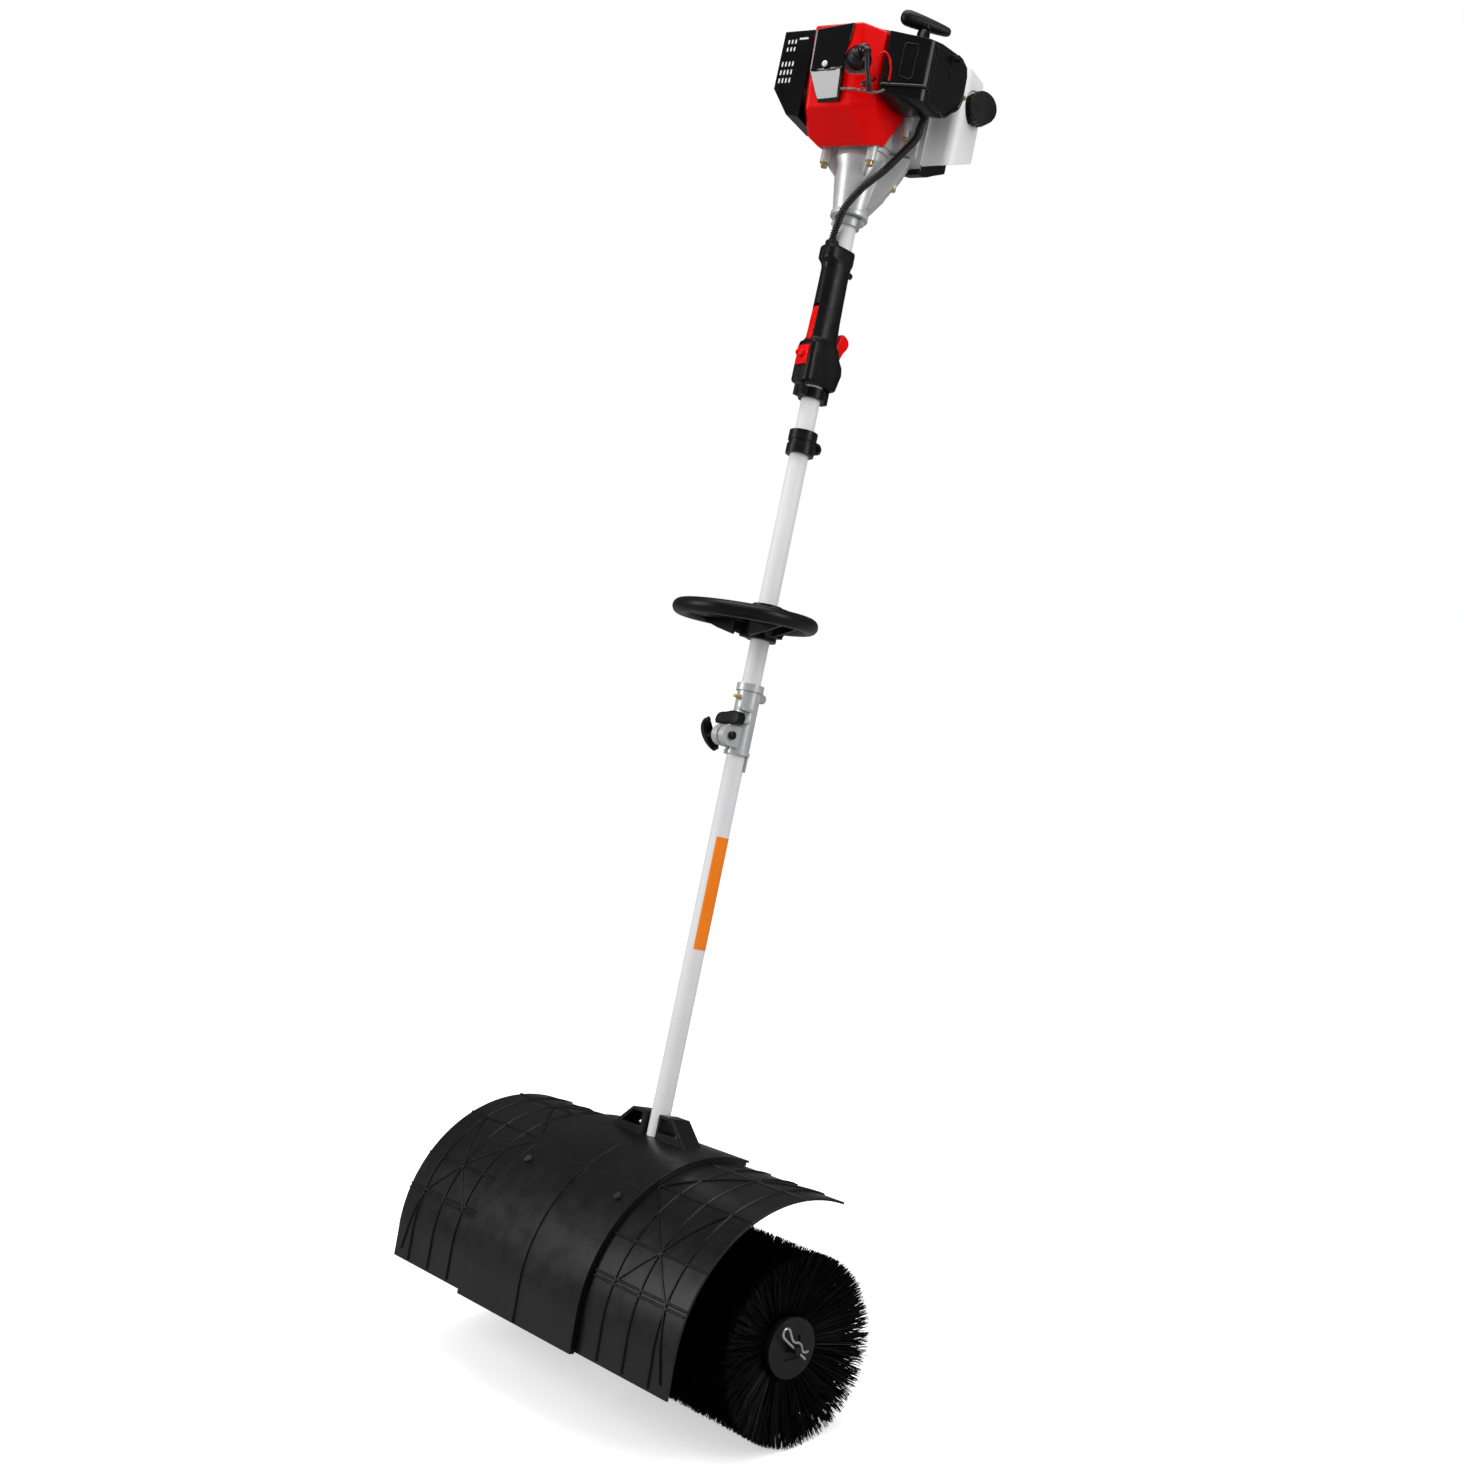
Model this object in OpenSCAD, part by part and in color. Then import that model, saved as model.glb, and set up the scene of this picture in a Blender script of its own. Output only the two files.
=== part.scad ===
// Petrol power brush sweeper: a brush roll under a guard, driven through a two-piece shaft
// and a worm gear by a two-stroke engine. Millimetres, Z up, X along the brush, the ground at Z 0.
// The origin is the ground point under the middle of the brush, and the operator stands at +Y.

/* [Brush] */
// Diameter of the brush over the bristle tips
brush_d = 230; // [200:1:250]
// Overall length of the brush roll
brush_len = 600; // [520:2:680]
// Diameter of the plastic core that holds the bristles
core_d = 68; // [60:1:76]
// Wall of the brush core
core_wall = 4; // [3:0.5:6]
// Free space between the two brush halves, for the gearbox
brush_gap = 72; // [70:1:90]
// Rings of bristle tufts on one half
tuft_rings = 14; // [11:1:15]
// Tufts round one ring
tufts_round = 16; // [14:1:16]
// Width of one tuft at its root
tuft_w = 2.4; // [1.5:0.1:3]
// How much the lowest tips are pressed flat on the ground
floor_flat = 0.5; // [0.2:0.1:1]
// Diameter of the brush end disc
end_disc_d = 73; // [70:0.5:80]
// Thickness of the brush end disc
end_disc_t = 6; // [4:0.5:8]

/* [Axle and worm gear] */
// Diameter of the axle in its bearings
axle_d = 16; // [14:0.5:18]
// Side of the square milled on the axle ends
axle_square = 11; // [9:0.1:11.4]
// Length of the round stub outside the end disc
stub_len = 12; // [11:0.5:16]
// Diameter of the round stub outside the end disc
stub_d = 10; // [8:0.5:11]
// Module of the worm gear
gear_module = 2; // [1.8:0.05:2.1]
// Teeth on the worm wheel
wheel_teeth = 20; // [18:1:21]
// Pitch diameter of the worm
worm_pitch_d = 24; // [22:0.5:26]
// Length of the worm thread
worm_len = 26; // [22:1:30]
// Width of the worm wheel
wheel_w = 14; // [10:1:16]
// Play between the teeth and the thread
backlash = 0.5; // [0.4:0.05:0.7]
// Wall of the gearbox casting
gearbox_wall = 6.5; // [5:0.5:8]

/* [Guard] */
// Outer radius of the guard wings
guard_r = 186; // [176:1:200]
// Length of the guard along the brush
guard_len = 600; // [520:2:680]
// Wall of the guard
guard_wall = 3; // [2.5:0.25:4]
// Angle that the guard reaches behind its top
guard_back = 25.5; // [20:0.5:32]
// Angle that the guard reaches down in front
guard_front = 77.5; // [70:0.5:84]
// Length of the straight skirt below the curve
guard_skirt = 40.5; // [30:0.5:50]
// Width of the raised centre cover
cover_w = 250; // [230:2:280]
// Height of the centre cover above the wings
cover_step = 8; // [6:0.5:10]
// Height of the moulded ribs on the guard
rib_h = 1.4; // [0.8:0.1:2]
// Width of the moulded ribs on the guard
rib_w = 2.4; // [1.6:0.1:4]
// Distance from the middle to each cover screw
screw_x = 97; // [92:1:104]
// Angle of the cover screws in front of the guard's top
screw_angle = 33; // [30:0.5:36]

/* [Shaft] */
// Lean of the shaft towards the operator
shaft_lean = 15.5; // [12:0.5:20]
// Outer diameter of the shaft tubes
tube_d = 26; // [25:0.5:28]
// Wall of the shaft tubes
tube_wall = 1.5; // [1.2:0.1:2]
// Diameter of the drive shafts
drive_d = 8; // [7:0.5:9]
// Side of the square that joins the two drive shafts
drive_square = 5; // [4:0.1:5.2]
// Outer diameter of the coupler sleeve
coupler_d = 32; // [31:0.5:36]
// Length of the coupler sleeve
coupler_len = 96; // [90:1:110]
// Distance along the shaft from the gear to the coupler
coupler_at = 693; // [670:1:720]
// Length of the lower tube inside the coupler
joint_depth = 60; // [54:1:64]

/* [Handles] */
// Distance along the shaft from the gear to the loop handle's ring
loop_at = 874; // [860:1:900]
// Outer diameter of the loop handle's ring
loop_d = 196; // [180:1:210]
// Thickness of the loop handle's bar
loop_bar_d = 21; // [18:0.5:24]
// How far the ring's centre lies in front of the shaft
loop_ahead = 34; // [28:1:40]
// Distance along the shaft from the gear to the harness collar
hanger_at = 1109; // [1080:1:1120]
// Length of the harness collar
hanger_len = 32; // [28:1:36]
// Diameter of the harness eye
eye_d = 8; // [6:0.5:9]
// Distance along the shaft from the gear to the throttle grip
grip_at = 1205; // [1195:1:1215]
// Length of the throttle grip
grip_len = 194; // [190:1:205]
// Thickness of the throttle grip across its two shells
grip_w = 36; // [34:0.5:40]

/* [Engine] */
// Distance along the shaft from the gear to the face of the fan case
engine_at = 1549; // [1535:1:1560]
// Turn of the engine about the shaft
engine_turn = 19; // [0:1:25]
// Length of the clutch housing's cone and bell
bell_len = 102; // [96:1:102]
// Diameter of the clutch drum
drum_d = 62; // [56:1:64]
// Diameter of the fan flywheel
fan_d = 78; // [70:1:80]
// Distance from the shaft to each bolt of the clutch housing, along both sides
bell_bolt = 35; // [34:0.5:37]
// Diameter of the recoil starter
starter_d = 112; // [104:1:112]
// Length of the fuel tank across the engine
tank_len = 175; // [165:1:180]
// Diameter of the fuel cap
cap_d = 46; // [40:1:50]
// Diameter of the corrugated throttle conduit
conduit_d = 11; // [10:0.5:12]
// Corrugations along the throttle conduit
conduit_ribs = 60; // [42:3:63]

/* [Fits] */
// Gap of a fixed round fit on one side
fit_gap = 0.03; // [0.02:0.01:0.06]
// Gap of a running round fit on one side
run_gap = 0.05; // [0.03:0.01:0.09]
// Gap between pieces that lie against each other
seat_gap = 0.3; // [0.2:0.05:0.4]
// Gap on each side of a piece that moves in a slot
slot_gap = 0.5; // [0.4:0.05:0.8]

/* [Hidden] */
$fn = 64;
eps = 0.01;

// Brush and gear
axle_r = axle_d / 2;
axle_z = brush_d / 2 - floor_flat;
core_r = core_d / 2;
half_from = brush_gap / 2;
disc_to = brush_len / 2 - 15;
core_to = disc_to - end_disc_t - eps;
sleeve_t = 2.4;
wheel_pitch_r = gear_module * wheel_teeth / 2;
worm_pitch_r = worm_pitch_d / 2;
gear_centres = wheel_pitch_r + worm_pitch_r;
worm_lead = PI * gear_module;
worm_tip_r = worm_pitch_r + gear_module;
worm_root_r = worm_pitch_r - 1.2 * gear_module;
wheel_tip_r = wheel_pitch_r + gear_module;
wheel_root_r = wheel_pitch_r - 1.25 * gear_module;
pressure = 20;
bearing_w = 9;
axle_bearing_r = axle_r + 7;
worm_bearing_r = drive_d / 2 + 7;
wheel_room = wheel_w / 2 + 2;
case_half = wheel_room + bearing_w + 7;
case_r = wheel_tip_r + 1.5 + gearbox_wall;
tower_r = worm_tip_r + 6;
worm_room = worm_len / 2 + 2.5;
tower_foot = worm_room + bearing_w + 4;
bolt_r = 2.5;
bolt_head_r = 4.5;
bolt_head_h = 4;
lug_r = 7;
lug_half = 14;

// Guard, with its centre a little ahead of the axle and below it
guard_y = -9.5;
guard_z = axle_z - 3;
wing_from = screw_x - 12;
cover_r = guard_r + cover_step;
rib_angles = [-5, 20, 45, 61.5];
rib_steps = [for (k = [41, 90, 139]) k * (guard_len - cover_w) / 350];
double_rib = 6;
band_angles = [26, 45.5];
lap = 0.2;
fin_h = 27;
fin_len = 72;
post_r = 8;
post_foot = 166.7;
post_len = guard_r - guard_wall - seat_gap - post_foot;

// Shaft
tube_r = tube_d / 2;
tube_bore_r = tube_r - tube_wall;
drive_r = drive_d / 2;
tube_foot = tower_foot + 16;
collar_top = tube_foot + 50;
joint_top = coupler_at + joint_depth;
socket_r = 7;
socket_len = 58;
socket_at = joint_top - 31;
socket_depth = 32;
coupler_r = coupler_d / 2;
ear_y = coupler_r + 10;
ear_z = 22;
ear_half = 12;
knob_x = 34;
catch_z = 52;
catch_x = 15;
catch_y = coupler_r + 4;
catch_w = 11;
bush_len = 24;

// Handles
loop_r = loop_d / 2 - loop_bar_d / 2;
hub_r = tube_r + 8;
hub_half = 24;
hub_wing = 34;
hub_screw_x = 27;
hub_screw_z = 12;
hanger_r = tube_r + 5;
eye_y = hanger_r + 6;
grip_r = grip_w / 2;
grip_deep = 22;
trigger_w = 9;
trigger_y = 22;
trigger_z = 42;
lever_w = 6;
lever_z = 104;
lever_y = 19.5;
switch_box_y = 36;
pin_r = 2;

// Engine, measured along the shaft from the face of the fan case
upper_top = engine_at - 51;
drum_r = drum_d / 2;
drum_wall = 2;
bell_r = drum_r + 6;
flange_t = 8;
flange_z = -12;
post_z = -36;
fan_r = fan_d / 2;
fan_case_r = fan_r + 4;
fan_case_h = 46;
crank_r = 7.5;
case_end = 100;
starter_end = 165;
starter_r = starter_d / 2;
cover_wall = 3;
tank_wall_r = 14;
tank_y = [64, 136];
tank_z = [4, 150];
tank_x = 102.5;
handle_x = 46;
handle_y = 20;
handle_z = 190;
cap_turn = 30;
cap_at = [104, 104, 104];

// Route of the throttle conduit in the shaft's frame
conduit_route = [
  [0, -20, 1400], [0, -20.5, 1412], [5, -22, 1428], [20, -27, 1450], [36, -16.5, 1480],
  [51, 2, 1510], [61, 18, 1540], [66.5, 29, 1560], [68, 33, 1571], [68, 33, 1580.4],
];
// Route of the spark plug lead in the engine's frame
lead_route = [
  [40.9, -110, 65.4], [43.4, -109.5, 63.4], [45, -106, 57], [43, -101, 51], [38.5, -96.3, 46.8],
  [34.8, -91.8, 45],
];
// Route of the stop wire in the engine's frame
stop_route = [
  [42.5, -82.5, 53.5], [44.5, -89, 57], [49, -98, 68], [55, -102, 79], [62, -101, 84], [68, -97, 78],
  [70.5, -92, 66], [69, -87.5, 57], [67.3, -84.8, 52],
];
// Route of a hairpin clip, along its leg and across it
clip_route = [
  [22, 0], [8, 0], [-8, 0], [-22, 0], [-29, 1], [-33, 5], [-32, 10], [-27, 12], [-21, 9.5],
  [-14, 6], [-8, 5.5], [-4, 8.2], [0, 9], [4, 8.2], [8, 5.5], [13, 5], [19, 10],
];
clip_r = 1.6;
clip_turn = -30;

// Puts a piece on the shaft: Z along it from the gear, Y towards the operator
module on_shaft(along = 0) {
  translate([0, 0, axle_z])
    rotate([-shaft_lean, 0, 0]) translate([0, -gear_centres, along]) children();
}

// Puts a piece on the engine, which is turned about the shaft
module on_engine(along = 0) {
  on_shaft(engine_at + along) rotate([0, 0, engine_turn]) children();
}

// Puts a piece on the brush axle, with Z along the axle
module on_axle() {
  translate([0, 0, axle_z]) rotate([-shaft_lean, 0, 0]) rotate([0, 90, 0]) children();
}

// Puts a piece on the guard at an angle in front of its top, with Z outwards
module at_guard(angle) {
  translate([0, guard_y, guard_z]) rotate([angle, 0, 0]) children();
}

// The two ends of what repeats on both sides
module both_sides() {
  children();
  mirror([1, 0, 0]) children();
}

// A round pipe from the floor up
module pipe(outer, inner, height) {
  difference() {
    cylinder(r = outer, h = height);
    translate([0, 0, -1]) cylinder(r = inner, h = height + 2);
  }
}

// A rod along X, centred on its length
module cross_rod(radius, half) {
  translate([-half, 0, 0]) rotate([0, 90, 0]) cylinder(r = radius, h = 2 * half);
}

// A flat outline with two round ends, one above the other
module stadium(radius, half) {
  for (side = [-1, 1])
    translate([0, side * half]) circle(r = radius);
  square([2 * radius, 2 * half], center = true);
}

// Points of a smooth curve through a route's points
function curve_point(a, b, c, d, t) =
  0.5 * (2 * b + (c - a) * t + (2 * a - 5 * b + 4 * c - d) * t * t + (3 * b - a - 3 * c + d) * t * t * t);
function curve(route, steps) = [
  for (i = [0 : len(route) - 2])
    for (k = [0 : steps - 1])
      curve_point(
        route[max(i - 1, 0)], route[i], route[i + 1], route[min(i + 2, len(route) - 1)], k / steps),
  route[len(route) - 1],
];
function unit(v) = v / norm(v);
function heading(path, i) = unit(path[min(i + 1, len(path) - 1)] - path[max(i - 1, 0)]);
function side_of(v, hint) = unit(cross(v, hint));
function ring_points(centre, ahead, hint, radius, sides) =
  let (across = side_of(ahead, hint), up = cross(across, ahead))
  [for (k = [0 : sides - 1])
    centre + radius * (cos(360 * k / sides) * across + sin(360 * k / sides) * up)];
function tube_faces(rings, sides) = concat(
  [for (i = [0 : rings - 2], k = [0 : sides - 1])
    [i * sides + k, i * sides + (k + 1) % sides, (i + 1) * sides + k]],
  [for (i = [0 : rings - 2], k = [0 : sides - 1])
    [i * sides + (k + 1) % sides, (i + 1) * sides + (k + 1) % sides, (i + 1) * sides + k]],
  [for (k = [1 : sides - 2]) [0, k + 1, k]],
  [for (k = [1 : sides - 2])
    [(rings - 1) * sides, (rings - 1) * sides + k, (rings - 1) * sides + k + 1]]
);

// A solid wire swept along a route
module wire(route, radius, sides, steps, hint) {
  path = curve(route, steps);
  points = [
    for (i = [0 : len(path) - 1])
      each ring_points(path[i], heading(path, i), hint, radius, sides)
  ];
  polyhedron(points = points, faces = tube_faces(len(path), sides), convexity = 6);
}

// Brush axle: round in its bearings, square in the brush
module brush_axle() {
  color("silver")
    on_axle()
      difference() {
        union() {
          cylinder(r = axle_r, h = 2 * (half_from - 4), center = true);
          cube([axle_square, axle_square, 2 * disc_to + 2], center = true);
          cylinder(d = stub_d, h = 2 * (disc_to + stub_len), center = true);
        }
        for (side = [-1, 1])
          translate([0, 0, side * (disc_to + stub_len - 5)])
            rotate([0, 0, clip_turn])
              rotate([0, 90, 0]) cylinder(r = clip_r + fit_gap, h = stub_d + 2, center = true);
      }
}

// Angle of half a wheel tooth at a radius, on an involute flank
function involute(radius) =
  let (base = wheel_pitch_r * cos(pressure), r = max(radius, base), a = acos(base / r))
  tan(a) * 180 / PI - a;
function tooth_half(radius) =
  (90 - backlash / 2 * 180 / PI / gear_module) / wheel_teeth
  + involute(wheel_pitch_r) - involute(radius);
wheel_radii = [
  wheel_root_r, wheel_pitch_r * cos(pressure), wheel_pitch_r, wheel_tip_r,
];

// Worm wheel: bronze, its teeth set at the lead angle of the worm
module worm_wheel() {
  turn_per_mm = 180 / PI / (worm_pitch_r * wheel_pitch_r) * worm_lead / (2 * PI);
  step = 360 / wheel_teeth;
  outline = [
    for (k = [0 : wheel_teeth - 1])
      each concat(
        [for (r = wheel_radii)
          let(a = (k + 0.5) * step - tooth_half(r)) r * [cos(a), sin(a)]],
        [for (i = [len(wheel_radii) - 1 : -1 : 0])
          wheel_radii[i] * [
            cos((k + 0.5) * step + tooth_half(wheel_radii[i])),
            sin((k + 0.5) * step + tooth_half(wheel_radii[i]))]]
      )
  ];
  color("peru")
    on_axle()
      difference() {
        rotate([0, 0, -turn_per_mm * wheel_w / 2])
          linear_extrude(height = wheel_w, center = true, twist = -turn_per_mm * wheel_w, slices = 4)
            polygon(outline);
        cylinder(r = axle_r + fit_gap, h = wheel_w + 2, center = true);
      }
}

// Radius of the worm's thread at an angle round one turn
function thread_r(angle) =
  let (
    along = abs(angle > 180 ? angle - 360 : angle) / 360 * worm_lead,
    pitch_at = worm_lead / 4 - backlash / 4,
    r = worm_pitch_r + (pitch_at - along) / tan(pressure))
  min(worm_tip_r, max(worm_root_r, r));

// Worm: one right-hand thread, pressed on the lower drive shaft
module worm() {
  sides = 20;
  turns = worm_len / worm_lead;
  color("dimgray") on_shaft()
      difference() {
        linear_extrude(
          height = worm_len, center = true, twist = -360 * turns, slices = ceil(turns * 12))
          rotate([0, 0, 90 - 180 * turns])
            polygon([for (k = [0 : sides - 1])
              thread_r(k * 360 / sides) * [cos(k * 360 / sides), sin(k * 360 / sides)]]);
        cylinder(r = drive_r + fit_gap, h = worm_len + 2, center = true);
      }
}

// Brush cores: on each side a tube with a web at each end
module brush_cores() {
  length = core_to - half_from;
  web_t = 6;
  color([0.08, 0.08, 0.09])
    on_axle()
      for (side = [0, 1])
        mirror([0, 0, side])
          translate([0, 0, half_from])
          difference() {
            cylinder(r = core_r, h = length);
            translate([0, 0, web_t]) cylinder(r = core_r - core_wall, h = length - 2 * web_t);
            translate([0, 0, length / 2])
              cube([axle_square + 2 * run_gap, axle_square + 2 * run_gap, length + 2], center = true);
          }
}

// Reach of a tuft that leaves the axle at an angle, cut where the ground is
function tuft_reach(angle) =
  let (down = -sin(angle))
  down > 0.2 ? min(brush_d / 2, axle_z / down) : brush_d / 2;
function tuft_points(x, angle) =
  let (
    out = [0, cos(angle), sin(angle)],
    round = [0, -sin(angle), cos(angle)],
    root = core_r + sleeve_t / 2,
    tip = tuft_reach(angle) - tuft_w / 8)
  concat(
    [for (k = [0 : 2]) [x, 0, 0] + root * out
      + tuft_w / 2 * (cos(120 * k) * [1, 0, 0] + sin(120 * k) * round)],
    [for (k = [0 : 2]) [x, 0, 0] + tip * out
      + tuft_w / 3 * (cos(120 * k) * [1, 0, 0] + sin(120 * k) * round)]);
tuft_faces = [
  [0, 2, 1], [3, 4, 5], [0, 1, 3], [1, 4, 3], [1, 2, 4], [2, 5, 4], [2, 0, 5], [0, 3, 5],
];

// One half of the bristles: radial tufts rooted in a thin sleeve on the core
module bristles(side) {
  from = half_from + 2;
  to = core_to - 2;
  pitch = (to - from) / tuft_rings;
  tufts = [
    for (ring = [0 : tuft_rings - 1], k = [0 : tufts_round - 1])
      [side * (from + pitch * (ring + 0.5)), 360 / tufts_round * (k + 0.37 * (ring % 3))]
  ];
  color([0.05, 0.05, 0.05])
    translate([0, 0, axle_z])
      union() {
        translate([side > 0 ? from : -to, 0, 0])
          rotate([0, 90, 0]) pipe(core_r + sleeve_t, core_r + fit_gap, to - from);
        polyhedron(
          points = [for (t = tufts) each tuft_points(t[0], t[1])],
          faces = [for (i = [0 : len(tufts) - 1], f = tuft_faces) f + [6 * i, 6 * i, 6 * i]],
          convexity = 10);
      }
}

module bristles_left() {
  bristles(1);
}

module bristles_right() {
  bristles(-1);
}

// End discs that close the brush, with a square recess round the axle
module end_discs() {
  recess = 27;
  color([0.1, 0.1, 0.1])
    on_axle()
      for (side = [0, 1])
        mirror([0, 0, side])
          translate([0, 0, core_to + eps])
            difference() {
              cylinder(d = end_disc_d, h = end_disc_t);
              translate([0, 0, end_disc_t / 2])
                cube([axle_square + 2 * run_gap, axle_square + 2 * run_gap, end_disc_t + 2],
                  center = true);
              translate([0, 0, end_disc_t])
                rotate([0, 0, 15]) cube([recess, recess, 4], center = true);
            }
}

// Hairpin clips of spring wire through the axle stubs
module hairpin_clips() {
  color("silver")
    on_axle()
      for (side = [0, 1])
        mirror([0, 0, side])
          translate([0, 0, disc_to + stub_len - 5])
            rotate([0, 0, clip_turn])
              wire([for (p = clip_route) [p[0], p[1], 0]], clip_r, 8, 3, [0, 0, 1]);
}

// Lower drive shaft, with a square end that slips into the upper one
module lower_drive_shaft() {
  foot = tower_foot - 3;
  color("silver") on_shaft()
      union() {
        translate([0, 0, -foot]) cylinder(r = drive_r, h = foot + socket_at - 3);
        translate([-drive_square / 2, -drive_square / 2, 0])
          cube([drive_square, drive_square, socket_at + socket_depth - 3]);
      }
}

// Lower tube of the shaft, clamped in the gearbox
module lower_tube() {
  color("gainsboro") on_shaft(tube_foot) pipe(tube_r, tube_bore_r, joint_top - tube_foot);
}

// Plastic bushes that keep a drive shaft in the middle of its tube
module bushes(places) {
  color("ivory")
    for (at = places)
      on_shaft(at) pipe(tube_bore_r - fit_gap, drive_r + run_gap, bush_len);
}

// Bushes of the lower tube, and the ball bearings of the axle and of the worm
module lower_bearings() {
  bushes([tube_foot + 60, (tube_foot + joint_top) / 2, socket_at - 60]);
  color("lightgray") on_shaft() {
      for (side = [0, 1])
        mirror([side, 0, 0])
          translate([wheel_room, gear_centres, 0])
            rotate([0, 90, 0]) pipe(axle_bearing_r, axle_r + run_gap, bearing_w);
      for (side = [0, 1])
        mirror([0, 0, side])
          translate([0, 0, worm_room]) pipe(worm_bearing_r, drive_r + run_gap, bearing_w);
    }
}

// Bushes of the upper tube, and the ball bearing in the clutch housing
module upper_bushes() {
  bushes([socket_at + socket_len + 60, (joint_top + upper_top) / 2, upper_top - 90]);
  color("lightgray") on_shaft(upper_top + seat_gap) pipe(worm_bearing_r, drive_r + run_gap, bearing_w);
}

// Places of the gearbox bolts, across the shaft and along it
gear_bolt_places = [
  [-tower_r - 4, 0],
  [-tower_r + 1, collar_top - 18],
  [tower_r - 1, collar_top - 18],
  [gear_centres + (case_r + 5) * cos(38), (case_r + 5) * sin(38)],
  [gear_centres + (case_r + 5) * cos(-38), (case_r + 5) * sin(-38)],
  [gear_centres + (case_r + 5) * cos(-115), (case_r + 5) * sin(-115)],
];

// Worm gearbox casting before it is split in two halves
module gearbox_casting() {
  difference() {
    union() {
      translate([0, 0, -tower_foot]) cylinder(r = tower_r, h = tower_foot + tube_foot + 6);
      cylinder(r = tube_r + 6, h = collar_top);
      translate([0, gear_centres, 0]) cross_rod(case_r, case_half - 3);
      translate([0, gear_centres, 0]) cross_rod(axle_bearing_r + 5, case_half);
      for (p = gear_bolt_places)
        translate([0, p[0], p[1]]) cross_rod(lug_r, lug_half);
      translate([-4, -tower_r - 3, 0]) cube([8, tower_r + 3, collar_top - 18]);
    }
    cylinder(r = worm_tip_r + 1.2, h = 2 * worm_room, center = true);
    cylinder(r = worm_bearing_r + fit_gap, h = 2 * (worm_room + bearing_w), center = true);
    cylinder(r = drive_r + 2, h = 2 * tube_foot, center = true);
    translate([0, 0, tube_foot]) cylinder(r = tube_r + fit_gap, h = collar_top);
    translate([0, gear_centres, 0]) cross_rod(wheel_tip_r + 1.5, wheel_room);
    translate([0, gear_centres, 0]) cross_rod(axle_bearing_r + fit_gap, wheel_room + bearing_w);
    translate([0, gear_centres, 0]) cross_rod(axle_r + 1, case_half + 1);
    for (p = gear_bolt_places)
      translate([0, p[0], p[1]]) cross_rod(bolt_r + fit_gap, lug_half + 1);
  }
}

// One half of the gearbox, split through the shaft
module gearbox_half(side) {
  reach = 4 * case_r;
  color("darkgray") on_shaft()
      intersection() {
        gearbox_casting();
        translate([side > 0 ? 0 : -reach, -reach, -reach]) cube([reach, 2 * reach, 3 * reach]);
      }
}

module gearbox_left() {
  gearbox_half(1);
}

module gearbox_right() {
  gearbox_half(-1);
}

// Bolts of the gearbox halves with nuts, and the guard's screws
module head_bolts() {
  guard_screws();
  color("silver") on_shaft()
      for (p = gear_bolt_places)
        translate([0, p[0], p[1]]) {
          cross_rod(bolt_r, lug_half + 1);
          for (side = [-1, 1])
            translate([side * (lug_half + bolt_head_h / 2), 0, 0])
              rotate([0, 90, 0]) cylinder(r = bolt_head_r, h = bolt_head_h, center = true, $fn = 6);
        }
}

// Guard bracket: a collar on the tube with two arms to the posts
module guard_bracket() {
  collar_z = collar_top + 4;
  plate_z = collar_z + 6;
  plate_t = 4;
  tip_y = 104;
  color("dimgray")
    difference() {
      union() {
        on_shaft(collar_z) cylinder(r = tube_r + 6, h = 26);
        on_shaft(plate_z)
          linear_extrude(plate_t)
            for (side = [-1, 1])
              polygon([
                [side * (tube_r - 3), 6], [side * (tube_r + 5), 0],
                [side * (screw_x + 5), 8 - tip_y], [side * (screw_x + 3), -tip_y - 2],
                [side * (screw_x - 6), -tip_y - 2], [0, -tube_r - 4],
                [0, 0]]);
        at_guard(screw_angle)
          for (side = [-1, 1])
            translate([side * screw_x, 0, guard_r - guard_wall - seat_gap - post_len])
              cylinder(r = post_r, h = post_len);
      }
      on_shaft(collar_z - 1) cylinder(r = tube_r + fit_gap, h = 28);
      at_guard(screw_angle)
        for (side = [-1, 1])
          translate([side * screw_x, 0, guard_r - guard_wall - post_len - 8])
            cylinder(r = bolt_r + fit_gap, h = post_len + 10);
    }
}

// A curved wall of the guard between two angles and two places along the brush
module arc_wall(outer, wall, x_from, x_to, angle_from, angle_to) {
  translate([x_from, guard_y, guard_z])
    rotate([0, 90, 0])
      rotate([0, 0, 180 + angle_from])
        rotate_extrude(angle = angle_to - angle_from)
          translate([outer - wall, 0]) square([wall, x_to - x_from]);
}

// One wing of the guard, with its moulded grid of ribs
module guard_wing(side) {
  length = guard_len / 2;
  color([0.1, 0.1, 0.11])
    mirror([side > 0 ? 0 : 1, 0, 0])
      difference() {
        union() {
          arc_wall(guard_r, guard_wall, wing_from, length, -guard_back, guard_front);
          at_guard(guard_front)
            translate([wing_from + lap, -guard_skirt, guard_r - guard_wall + lap])
              cube([length - wing_from - 2 * lap, guard_skirt + 2, guard_wall - 2 * lap]);
          for (step = rib_steps)
            arc_wall(guard_r + rib_h, rib_h + 1, cover_w / 2 + step - rib_w / 2,
              cover_w / 2 + step + rib_w / 2, -guard_back, guard_front);
          for (angle = rib_angles)
            at_guard(angle)
              translate([cover_w / 2 + 1, -rib_w / 2, guard_r - 1])
                cube([length - cover_w / 2 - 1, rib_w, rib_h + 0.6]);
          at_guard(rib_angles[3])
            translate([cover_w / 2 + 1, double_rib - rib_w / 2, guard_r - 1])
              cube([length - cover_w / 2 - 1, rib_w, rib_h + 0.6]);
        }
        at_guard(screw_angle)
          translate([screw_x, 0, guard_r - 10]) cylinder(r = bolt_r + fit_gap, h = 20);
      }
}

module guard_left() {
  guard_wing(1);
}

module guard_right() {
  guard_wing(-1);
}

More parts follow.
